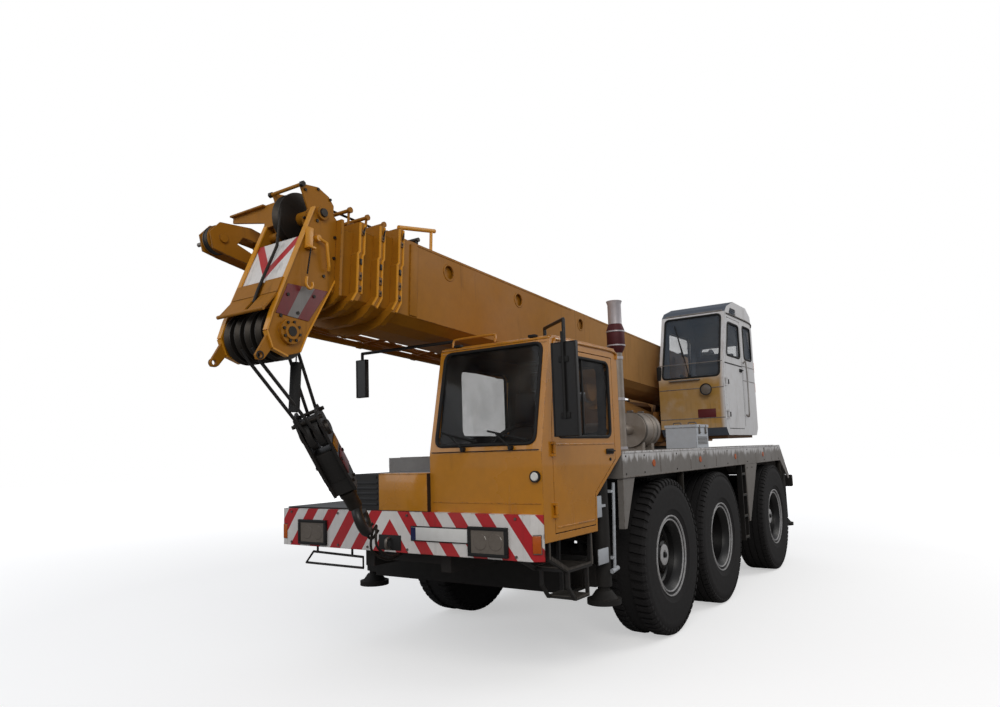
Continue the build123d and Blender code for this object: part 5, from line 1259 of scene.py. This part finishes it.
# Jib stowed on the far side, winch and counterweight
def makeJibTrim():
    bm = bmesh.new()
    s0, s1 = 3.0, 6.9
    for k in range(7):
        s = s0 + (s1 - s0) * k / 6
        for x, t in ((-0.440, -0.120), (-0.440, -0.330), (-0.615, -0.225)):
            addRod(bm, at(x, s - 0.020, t), at(x, s + 0.020, t), 0.029)
    for s in (3.0, 6.9):
        for x, t in ((-0.440, -0.120), (-0.440, -0.330), (-0.615, -0.225)):
            addRod(bm, at(x, s - 0.035, t), at(x, s + 0.035, t), 0.034, slot=1)
    addRod(bm, at(-0.610, 7.470, 0.198), at(-0.610, 7.208, 0.077), 0.011, slot=1)
    for sign in (1, -1):
        addRod(bm, at(-0.600, 7.510, 0.190), at(-0.600 + sign * 0.050, 7.510, 0.190), 0.024, sides=18, slot=1)
    for low, high, r in ((-0.024, -0.014, 0.0975), (-0.014, 0.014, 0.0955), (0.014, 0.024, 0.0975)):
        addLathe(bm, [(low, 0.020), (low, r), (high, r), (high, 0.020)], at(-0.5115, 7.510, 0.190), steps=36,
                 slot=2)
    for x, r in ((-0.52, 0.008), (-0.49, 0.006)):
        addTube(bm, smoothPath([at(x, 7.560, 0.200), at(x - 0.02, 7.380, 0.300), at(x, 7.180, 0.285),
                                at(x + 0.03, 7.000, 0.080),
                                at(x + 0.02, 6.90, -0.12)], 5), r, sides=6, slot=2)
    for s, t in ((7.565, 0.165), (7.300, 0.300), (7.120, 0.240), (6.960, 0.040), (6.930, -0.200)):
        addRod(bm, at(-0.490, s, t), at(-0.640, s, t), 0.016, sides=6, slot=1)
    makePiece("folding_jib_joints", bm, ["boomYellow", "steel", "darkSteel"], "boom", toBoom)


rodEnd = {"start": 0.060, "end": 0.304, "radius": 0.0697}


def makeWinchTrim():
    bm = bmesh.new()
    y, z = 6.890, 2.950
    turns, steps = 16, 20
    path = []
    for k in range(turns * steps + 1):
        a = math.tau * k / steps
        path.append((-0.215 + 0.0268 * k / steps, y + 0.120 * math.cos(a), z + 0.120 * math.sin(a)))
    addTube(bm, path, 0.011, sides=6)
    makePiece("winch_winding", bm, ["rope"], "superstructure")
    bm = bmesh.new()
    for x in (-0.250, 0.250):
        sign = 1 if x > 0 else -1
        for angle in around(8):
            a, b = y + 0.135 * math.cos(angle), z + 0.135 * math.sin(angle)
            addRod(bm, (x, a, b), (x + sign * 0.008, a, b), 0.010, sides=6)
    addRod(bm, (0.290, y, z), (0.400, y, z), 0.085, sides=28)
    addRod(bm, (0.400, y, z), (0.440, y, z), 0.055, sides=24)
    addTube(bm, smoothPath([(0.42, y, z + 0.04), (0.46, y - 0.05, z + 0.02), (0.46, y - 0.12, z - 0.12),
                            (0.43, y - 0.20, 2.725)]), 0.012)
    addTube(bm, smoothPath([(0.42, y, z - 0.03), (0.48, y - 0.02, z - 0.04), (0.50, y - 0.08, z - 0.15),
                            (0.50, y - 0.18, 2.725)]), 0.012)
    for sign in (1, -1):
        for yy in (6.30, 6.62):
            addTube(bm, smoothPath([(sign * 0.62, yy - 0.05, 2.715), (sign * 0.62, yy - 0.045, 2.775),
                                    (sign * 0.62, yy, 2.800),
                                    (sign * 0.62, yy + 0.045, 2.775), (sign * 0.62, yy + 0.05, 2.715)], 4),
                                    0.013)
        for yy in (6.20, 6.72):
            for zz in (2.14, 2.64):
                addRod(bm, (sign * 0.849, yy, zz), (sign * 0.860, yy, zz), 0.018, sides=6)
    makePiece("winch_motor", bm, ["darkSteel"], "superstructure")
    bm = bmesh.new()
    for sign in (1, -1):
        x0, x1 = sorted((sign * 0.8495, sign * 0.8555))
        for z0 in (2.28, 2.50):
            addBox(bm, (x0, 6.16, z0), (x1, 6.79, z0 + 0.008))
        addBox(bm, (x0, 6.28, 2.33), (x1, 6.68, 2.45), 0.004)
    makePiece("counterweight_joints", bm, ["upperYellow"], "superstructure")


# The rod's inner end, deep in the barrel while the boom is down
def makeRodEnd():
    bm = bmesh.new()
    foot, along = Vector(joints["cylinder_tilt"]["pos_m"]), Vector(joints["cylinder_slide"]["axis"])
    addRod(bm, foot + along * rodEnd["start"], foot + along * rodEnd["end"], rodEnd["radius"], sides=40)
    makePiece("luff_rod_end", bm, ["chrome"], "cylinder_rod", Matrix())


def makeUpperTrim():
    bm = bmesh.new()
    for k in range(48):
        a = math.tau * k / 48
        addRod(bm, (0.605 * math.cos(a), 4.95 + 0.605 * math.sin(a), 1.700),
               (0.605 * math.cos(a), 4.95 + 0.605 * math.sin(a), 1.716),
               0.012, sides=6)
    for sign in (1, -1):
        for a, b in ((4.30, 2.02), (5.80, 2.03), (6.15, 2.50), (6.46, 2.60), (6.46, 2.30), (5.30, 2.04)):
            addRod(bm, (sign * 0.369, a, b), (sign * 0.378, a, b), 0.014, sides=6)
        addRod(bm, (sign * 0.40, 6.35, 2.50), (sign * 0.412, 6.35, 2.50), 0.030, sides=20)
    for k, x in enumerate((-0.28, -0.24, -0.20, 0.22, 0.26)):
        addTube(bm, smoothPath([(x, 4.60, 1.73), (x, 4.80, 1.90), (x, 5.60, 1.98 + 0.01 * k), (x, 6.05, 2.10),
                                (x, 6.22, 2.26)], 6), 0.012)
    addTube(bm, smoothPath([(-0.10, 5.06, 1.93), (-0.14, 5.15, 1.86), (-0.20, 5.30, 1.90)], 6), 0.012)
    makePiece("turntable_bolts", bm, ["darkSteel"], "superstructure")
    bm = bmesh.new()
    x = -1.150
    for y0, y1 in ((4.46, 5.10), (5.18, 5.84)):
        addBox(bm, (x - 0.006, y0, 1.80), (x + 0.001, y1, 2.195), 0.004)
        for z in (1.90, 2.10):
            addRod(bm, (x - 0.012, y0 + 0.01, z - 0.03), (x - 0.012, y0 + 0.01, z + 0.03), 0.008)
    for k in range(9):
        addBox(bm, (x - 0.013, 4.56, 1.86 + 0.032 * k), (x - 0.004, 5.00, 1.872 + 0.032 * k), 0.003)
    for y in (4.55, 5.75):
        addRod(bm, (-0.70, y, 2.279), (-0.70, y, 2.315), 0.045, sides=24)
    for k in range(12):
        addBox(bm, (-1.04, 4.80 + 0.05 * k, 2.279), (-0.50, 4.82 + 0.05 * k, 2.287), 0.003)
    makePiece("hydraulic_box_panels", bm, ["upperYellow"], "superstructure")
    bm = bmesh.new()
    for y in (5.04, 5.24):
        addTube(bm, smoothPath([(x - 0.006, y, 1.96), (x - 0.032, y, 1.965), (x - 0.032, y, 2.035),
                                (x - 0.006, y, 2.04)], 4), 0.007)
    for y in (4.55, 5.75):
        addLathe(bm, [(2.314, 0.0), (2.314, 0.050), (2.330, 0.050), (2.338, 0.044), (2.338, 0.0)],
                 (-0.70, y, 0), "Z", 28)
    makePiece("hydraulic_box_caps", bm, ["rubber"], "superstructure")


makeJibTrim()
makeWinchTrim()
makeRodEnd()
makeUpperTrim()


# Operator's cab
upper = {
    "in": 0.420, "out": 1.200, "slope": ((4.220, 2.420), (4.440, 3.220)),
    "screen": [(0.470, 2.440), (0.470, 3.190), (1.150, 3.190), (1.150, 2.440)],
    "doorWindow": [(4.390, 2.690), (4.505, 3.095), (4.930, 3.095), (4.930, 2.690)],
    "sideWindow": [(5.120, 2.700), (5.120, 3.120), (5.450, 3.120), (5.450, 2.700)],
    "innerWindow": [(4.500, 2.480), (4.580, 3.060), (5.350, 3.060), (5.350, 2.480)],
    "rearWindow": [(0.520, 2.500), (0.520, 2.950), (1.100, 2.950), (1.100, 2.500)],
}


def upperFront(z):
    (y0, z0), (y1, z1) = upper["slope"]
    return y0 if z < z0 else y0 + (y1 - y0) * (z - z0) / (z1 - z0)


def makeUpperCab():
    bm = bmesh.new()
    addSeal(bm, upper["screen"], 0.05, lambda x, z: (x, upperFront(z) - 0.001, z), 0.012)
    addSeal(bm, upper["sideWindow"], 0.05, lambda y, z: (upper["out"] + 0.001, y, z), 0.011)
    addSeal(bm, upper["innerWindow"], 0.05, lambda y, z: (upper["in"] - 0.001, y, z), 0.011)
    addSeal(bm, upper["rearWindow"], 0.05, lambda x, z: (x, 5.561, z), 0.011)
    addRod(bm, (0.80, upperFront(2.50) + 0.005, 2.465), (0.80, upperFront(2.50) - 0.035, 2.465), 0.014)
    addTube(bm, [(0.80, upperFront(2.50) - 0.03, 2.468), (0.70, upperFront(2.80) - 0.028, 2.80),
                 (0.66, upperFront(2.92) - 0.028, 2.92)], 0.006)
    addTube(bm, [(0.72, upperFront(2.70) - 0.020, 2.70), (0.60, upperFront(3.10) - 0.020, 3.10)], 0.007)
    addBox(bm, (0.40, upperFront(2.44) - 0.005, 2.43), (0.45, 4.26, 2.60), 0.006)
    addBox(bm, (1.1995, 4.998, 1.86), (1.2015, 5.002, 3.15))
    for z in (1.99, 2.37):
        addBox(bm, (1.199, 4.300, z - 0.028), (1.212, 4.400, z + 0.028), 0.004)
    makePiece("operator_cab_seals", bm, ["rubber"], "superstructure")

    bm = bmesh.new()
    addBox(bm, (0.56, 4.172, 2.402), (0.93, 4.222, 2.416), 0.004)
    addTube(bm, [(0.474, 4.445, 3.232), (1.170, 4.445, 3.232)], 0.009, sides=6)
    for z in (1.95, 2.30, 2.60):
        addBox(bm, (0.424, 4.2155, z), (1.196, 4.2205, z + 0.010), 0.002)
        addTube(bm, smoothPath([(1.203, 4.47, 3.195), (1.206, 4.70, 3.200), (1.206, 5.45, 3.200),
                                (1.203, 5.53, 3.15)], 4), 0.010, sides=8)
    addTube(bm, smoothPath([(1.20, 5.06, 2.00), (1.236, 5.07, 2.02), (1.236, 5.07, 2.62), (1.20, 5.06, 2.64)],
                           4), 0.010, sides=8)
    for z in (2.42, 2.60):
        addBox(bm, (1.1995, 5.02, z), (1.2035, 5.545, z + 0.008))
    makePiece("operator_cab_ledges", bm, ["cream"], "superstructure")

    bm = bmesh.new()
    addLathe(bm, [(4.222, 0.0), (4.222, 0.020), (4.175, 0.045), (4.150, 0.068), (4.135, 0.070),
                  (4.137, 0.062), (4.150, 0.058), (4.150, 0.0)],
             (1.013, 0, 2.282), "Y", 32)
    makePiece("operator_work_lamp", bm, ["rubber"], "superstructure")
    bm = bmesh.new()
    addLathe(bm, [(4.152, 0.0), (4.152, 0.058), (4.146, 0.058), (4.136, 0.030), (4.134, 0.0)],
             (1.013, 0, 2.282), "Y", 32)
    makePiece("operator_work_glass", bm, ["lampGlass"], "superstructure")
    bm = bmesh.new()
    addBox(bm, (0.880, 4.2140, 1.960), (1.090, 4.2205, 2.060), 0.003)
    makePiece("operator_cab_plate", bm, ["plateRed"], "superstructure")
    bm = bmesh.new()
    addBox(bm, (1.175, 5.548, 2.30), (1.201, 5.572, 2.42), 0.006)
    addBox(bm, (1.175, 5.548, 2.56), (1.201, 5.572, 2.70), 0.006)
    makePiece("operator_cab_amber", bm, ["amber"], "superstructure")

    bm = bmesh.new()
    addSeal(bm, upper["doorWindow"], 0.05, lambda y, z: (upper["out"] + 0.001, y, z), 0.012)
    addBox(bm, (1.199, 4.875, 2.520), (1.212, 4.975, 2.560), 0.005)
    addTube(bm, smoothPath([(1.205, 4.885, 2.54), (1.228, 4.90, 2.54), (1.228, 4.95, 2.54),
                            (1.205, 4.965, 2.54)], 4), 0.006)
    addBox(bm, (1.1985, 4.300, 2.585), (1.2035, 4.985, 2.600), 0.002)
    makePiece("operator_door_seals", bm, ["rubber"], "operator_door_leaf")

    bm = bmesh.new()
    for x in (0.560, 1.060):
        addBox(bm, (x - 0.06, 4.56, 2.26), (x + 0.06, 4.86, 2.38), 0.03)
        addTube(bm, [(x, 4.66, 2.37), (x, 4.64, 2.50)], 0.011)
        addBall(bm, (x, 4.64, 2.51), 0.024)
    addBox(bm, (0.56, 4.32, 1.92), (1.10, 4.40, 2.34), 0.03)
    for x in (0.70, 0.92):
        addBox(bm, (x - 0.045, 4.42, 1.90), (x + 0.045, 4.54, 1.93), 0.008,
               Matrix.Rotation(math.radians(-18), 4, "X"))
    makePiece("operator_controls", bm, ["plastic"], "superstructure")


makeUpperCab()
stage("superstructure")


# Deck, exhaust, boxes and the front panel of the low body
def makeFrontPanel():
    bm = bmesh.new()
    addBox(bm, (-0.160, 0.003, 1.236), (0.310, 0.0085, 1.503), 0.002)
    addBox(bm, (-0.160, 0.003, 1.4975), (0.309, 0.200, 1.508), 0.002)
    makePiece("front_panel", bm, ["yellow"], "carrier")
    bm = bmesh.new()
    for k in range(5):
        addBox(bm, (-0.435, 0.001, 1.270 + 0.040 * k), (-0.180, 0.0085, 1.288 + 0.040 * k), 0.003)
    for x in (-0.435, -0.19):
        addRod(bm, (x, 0.008, 1.48), (x, 0.001, 1.48), 0.010, sides=6)
    makePiece("front_grille", bm, ["plastic"], "carrier")


def makeDeckTrim():
    bm = bmesh.new()
    for sign in (1, -1):
        x0, x1 = sorted((sign * 1.2495, sign * 1.2530))
        addBox(bm, (x0, 1.275, 1.596), (x1, 6.40, 1.613), 0.001)
        addBox(bm, (x0, 1.275, 1.404), (x1, 6.40, 1.416), 0.001)
        for y in (2.05, 2.82, 3.60, 4.38, 5.16, 5.92):
            addBox(bm, (x0, y, 1.416), (x1, y + 0.010, 1.596), 0.001)
    for k in range(30):
        y = 1.40 + 0.165 * k
        for x0, x1 in ((-1.22, -0.72), (0.72, 1.22)):
            if 4.15 < y or x0 < 0 or not 1.40 < y < 2.9:
                addBox(bm, (x0, y, 1.6145), (x1, y + 0.018, 1.6185))
    makePiece("deck_edges", bm, ["cream"], "carrier")
    bm = bmesh.new()
    for sign in (1, -1):
        for y in (1.90, 3.10, 4.30, 5.50):
            addRod(bm, (sign * 1.2500, y, 1.505), (sign * 1.2560, y, 1.505), 0.030, sides=24)
    makePiece("deck_reflectors", bm, ["amber"], "carrier")
    bm = bmesh.new()
    for sign in (1, -1):
        for y in (1.33, 1.70, 2.45, 3.22, 4.00, 4.78, 5.55, 6.30):
            addRod(bm, (sign * 1.2500, y, 1.575), (sign * 1.2545, y, 1.575), 0.008, sides=6)
            addRod(bm, (sign * 1.2500, y, 1.435), (sign * 1.2545, y, 1.435), 0.008, sides=6)
        for y, z in ((4.74, 1.36), (4.95, 1.36)):
            addRod(bm, (sign * 1.2500, y, z), (sign * 1.2545, y, z), 0.010, sides=6)
        x0, x1 = sorted((sign * 1.176, sign * 1.240))
        for y0, y1, z0, z1 in ((2.62, 2.632, 0.86, 1.405),):
            addBox(bm, (x0, y0, z0), (x1, y1, z1), 0.003)
        addBox(bm, (x0, 6.430, 0.95), (x1, 6.442, 1.40), 0.003)
    makePiece("deck_bolts", bm, ["darkSteel"], "carrier")

    bm = bmesh.new()
    for y in (3.25, 3.44):
        addBox(bm, (1.205, y - 0.018, 1.760), (1.215, y + 0.018, 1.852), 0.003)
        addRod(bm, (1.214, y - 0.024, 1.775), (1.214, y + 0.024, 1.775), 0.006)
    for k in range(6):
        addBox(bm, (1.2045, 3.20, 1.655 + 0.014 * k), (1.2085, 3.49, 1.662 + 0.014 * k), 0.001)
    for x in (0.96, 1.12):
        addTube(bm, smoothPath([(x - 0.04, 3.30, 1.858), (x - 0.035, 3.30, 1.880), (x + 0.035, 3.30, 1.880),
                                (x + 0.04, 3.30, 1.858)], 4), 0.006)
    makePiece("deck_box_latches", bm, ["steel"], "carrier")

    bm = bmesh.new()
    x, z = 0.800, 1.812
    for y in (2.475, 2.735):
        addLathe(bm, [(y - 0.016, 0.166), (y - 0.016, 0.171), (y + 0.016, 0.171), (y + 0.016, 0.166)],
                 (x, 0, z), "Y", 48)
        addBox(bm, (x - 0.030, y - 0.014, z + 0.166), (x + 0.030, y + 0.014, z + 0.188), 0.004)
    addLathe(bm, [(2.798, 0.150), (2.800, 0.171), (2.812, 0.171), (2.812, 0.150)], (x, 0, z), "Y", 48)
    for y in (1.72, 1.86, 2.00, 2.14, 2.28):
        addLathe(bm, [(y - 0.030, 0.048), (y - 0.026, 0.053), (y - 0.008, 0.053), (y - 0.004, 0.048)],
                 (x, 0, z), "Y", 32)
    makePiece("silencer_bands", bm, ["steel"], "carrier")
    bm = bmesh.new()
    x, y = 1.100, 1.585
    addLathe(bm, [(2.442, 0.050), (2.470, 0.064), (2.500, 0.0755), (2.640, 0.0755), (2.668, 0.066),
                  (2.690, 0.058), (2.690, 0.046),
                  (2.442, 0.046)], (x, y, 0), "Z", 40, slot=0)
    addLathe(bm, [(2.690, 0.0572), (2.860, 0.0572), (2.888, 0.0672), (2.8905, 0.0655), (2.864, 0.050),
                  (2.70, 0.050)], (x, y, 0), "Z", 40, slot=1)
    for z in (2.505, 2.625):
        addLathe(bm, [(z - 0.006, 0.0752), (z - 0.005, 0.0790), (z + 0.005, 0.0790), (z + 0.006, 0.0752)],
                 (x, y, 0), "Z", 40, slot=1)
    for z in (1.64, 2.05, 2.40):
        addLathe(bm, [(z - 0.012, 0.0482), (z - 0.011, 0.0540), (z + 0.011, 0.0540), (z + 0.012, 0.0482)],
                 (x, y, 0), "Z", 36, slot=1)
    makePiece("stack_arrester", bm, ["exhaustRed", "stackSteel"], "carrier")


def makeUnderbody():
    bm = bmesh.new()
    for number, y in ((1, "wheel_1_left_spin"), (2, "wheel_2_left_spin"), (3, "wheel_3_left_spin")):
        middle = (Vector(joints[y]["pos_m"]) - toCarrier.translation).y
        for sign in (1, -1):
            for k in range(4):
                reach = 0.46 - 0.085 * k
                addBox(bm, (sign * 0.50 - 0.040, middle - reach, 0.890 - 0.014 * k),
                       (sign * 0.50 + 0.040, middle + reach, 0.900 - 0.014 * k), 0.002)
            for dy in (-0.075, 0.075):
                addTube(bm, [(sign * 0.50 - 0.055, middle + dy, 0.66),
                             (sign * 0.50 - 0.055, middle + dy, 0.93),
                             (sign * 0.50 + 0.055, middle + dy, 0.93),
                             (sign * 0.50 + 0.055, middle + dy, 0.66)], 0.010, sides=8)
            addRod(bm, (sign * 0.30, middle + 0.16, 0.80), (sign * 0.30, middle + 0.32, 0.84), 0.080,
                   sides=24)
            addRod(bm, (sign * 0.30, middle + 0.32, 0.84), (sign * 0.30, middle + 0.36, 0.85), 0.080, 0.045,
                   sides=24)
            addRod(bm, (sign * 0.44, middle - 0.20, 0.70), (sign * 0.40, middle - 0.26, 1.10), 0.032,
                   sides=16)
    makePiece("springs_and_brakes", bm, ["frame"], "carrier")
    bm = bmesh.new()
    addRod(bm, (0.06, 2.70, 0.93), (0.0, 3.20, 0.80), 0.045)
    addRod(bm, (0.0, 4.60, 0.82), (0.0, 5.10, 0.76), 0.045)
    addRod(bm, (0.06, 2.64, 0.935), (0.06, 2.72, 0.93), 0.075, sides=20)
    for sign in (1, -1):
        for z in (0.98, 1.00, 1.02):
            addTube(bm, smoothPath([(sign * 0.435, 1.35, z), (sign * 0.437, 2.60, z),
                                    (sign * 0.437, 4.20, z + 0.10), (sign * 0.437, 6.20, z + 0.10)], 5),
                                    0.008, sides=6)
    makePiece("propshafts_and_lines", bm, ["darkSteel"], "carrier")
    bm = bmesh.new()
    for x, y, z, long, r in ((0.62, 4.55, 1.18, 0.52, 0.110), (0.62, 4.55, 0.93, 0.52, 0.110)):
        addLathe(bm, [(0.0, 0.0), (0.0, r * 0.55), (0.035, r * 0.92), (0.06, r), (long - 0.06, r),
                      (long - 0.035, r * 0.92), (long, r * 0.55),
                      (long, 0.0)], (x, y, z), "Y", 32)
        for yy in (y + 0.10, y + long - 0.10):
            addLathe(bm, [(-0.014, r), (-0.014, r + 0.004), (0.014, r + 0.004), (0.014, r)], (x, yy, z), "Y",
                     32, slot=1)
            addBox(bm, (0.42, yy - 0.014, z - 0.02), (x - r + 0.01, yy + 0.014, z + 0.02), slot=1)
    makePiece("air_tanks", bm, ["black", "steel"], "carrier")
    bm = bmesh.new()
    addRod(bm, (-0.98, 4.60, 1.372), (-0.98, 4.60, 1.398), 0.050, sides=28)
    for y in (4.70, 5.04):
        for pair in (((-1.204, y, 0.83), (-1.204, y, 1.32)),):
            addBox(bm, (-1.206, y - 0.018, 0.80), (-1.200, y + 0.018, 1.35), 0.001)
    makePiece("fuel_tank_straps", bm, ["steel"], "carrier")
    bm = bmesh.new()
    for x in (-0.9, -0.45, 0.0, 0.45, 0.9):
        addBox(bm, (x - 0.020, 7.039, 0.62), (x + 0.020, 7.048, 1.16), 0.003)
    for z in (0.64, 0.88, 1.14):
        addBox(bm, (-1.05, 7.039, z - 0.012), (1.05, 7.046, z + 0.012), 0.003)
    addBox(bm, (-0.30, 7.046, 0.68), (0.30, 7.052, 0.80), 0.003, slot=1)
    for x in (-0.62, 0.62):
        addTube(bm, smoothPath([(x - 0.05, 7.045, 1.02), (x - 0.045, 7.075, 1.02), (x + 0.045, 7.075, 1.02),
                                (x + 0.05, 7.045, 1.02)], 4), 0.010)
    makePiece("rear_box_ribs", bm, ["frame", "whitePlate"], "carrier")


def makeMirrors():
    bm = bmesh.new()
    addBox(bm, (1.352, 0.0955, 1.740), (1.508, 0.0985, 2.320), 0.002)
    addBox(bm, (-0.444, 0.0955, 2.106), (-0.349, 0.0985, 2.394), 0.002)
    makePiece("mirror_glasses", bm, ["mirrorGlass"], "carrier")
    bm = bmesh.new()
    for x0, x1, z0, z1 in ((1.340, 1.520, 1.725, 2.335), (-0.450, -0.343, 2.100, 2.400)):
        rim = [(x0 + 0.004, 0.066, z0 + 0.004), (x1 - 0.004, 0.066, z0 + 0.004),
               (x1 - 0.004, 0.066, z1 - 0.004), (x0 + 0.004, 0.066, z1 - 0.004)]
        addTube(bm, rim, 0.006, closed=True, sides=6)
    for z in (1.86, 2.22):
        addBox(bm, (1.395, 0.058, z - 0.020), (1.465, 0.067, z + 0.020), 0.004)
        addTube(bm, [(1.430, 0.060, z), (1.430, 0.050, z + 0.02)], 0.008)
    addRod(bm, (1.430, 0.054, 1.84), (1.430, 0.054, 2.40), 0.010)
    makePiece("mirror_frames", bm, ["rubber"], "carrier")


makeMirrors()
makeFrontPanel()
makeDeckTrim()
makeUnderbody()
stage("carrier")


def makeFloor():
    bm = bmesh.new()
    bmesh.ops.create_grid(bm, x_segments=1, y_segments=1, size=60)
    mesh = bpy.data.meshes.new("floor")
    bm.to_mesh(mesh)
    bm.free()
    floor = bpy.data.objects.new("floor", mesh)
    bpy.context.scene.collection.objects.link(floor)
    material, tree, shader = newMaterial("floorPaint")
    tree.nodes.clear()
    output = addNode(tree, "ShaderNodeOutputMaterial")
    mix = addNode(tree, "ShaderNodeMixShader")
    diffuse = addNode(tree, "ShaderNodeBsdfDiffuse")
    diffuse.inputs["Color"].default_value = (0.82, 0.82, 0.82, 1)
    dark = addNode(tree, "ShaderNodeBsdfDiffuse")
    dark.inputs["Color"].default_value = (0.30, 0.29, 0.28, 1)
    lift = addNode(tree, "ShaderNodeEmission")
    lift.inputs["Color"].default_value = (1, 1, 1, 1)
    where = addNode(tree, "ShaderNodeTexCoord").outputs["Object"]
    reach = addNode(tree, "ShaderNodeVectorMath", operation="LENGTH")
    tree.links.new(where, reach.inputs[0])
    strength = arithmetic(tree, "ADD", 0.48, arithmetic(tree, "MULTIPLY",
                                                        ramp(tree, reach.outputs["Value"], 6.0, 22.0), 0.50))
    tree.links.new(strength, lift.inputs["Strength"])
    both = addNode(tree, "ShaderNodeAddShader")
    path = addNode(tree, "ShaderNodeLightPath")
    tree.links.new(diffuse.outputs[0], both.inputs[0])
    tree.links.new(lift.outputs[0], both.inputs[1])
    tree.links.new(path.outputs["Is Camera Ray"], mix.inputs[0])
    tree.links.new(dark.outputs[0], mix.inputs[1])
    tree.links.new(both.outputs[0], mix.inputs[2])
    tree.links.new(mix.outputs[0], output.inputs["Surface"])
    mesh.materials.append(material)


makeFloor()
stage("floor")
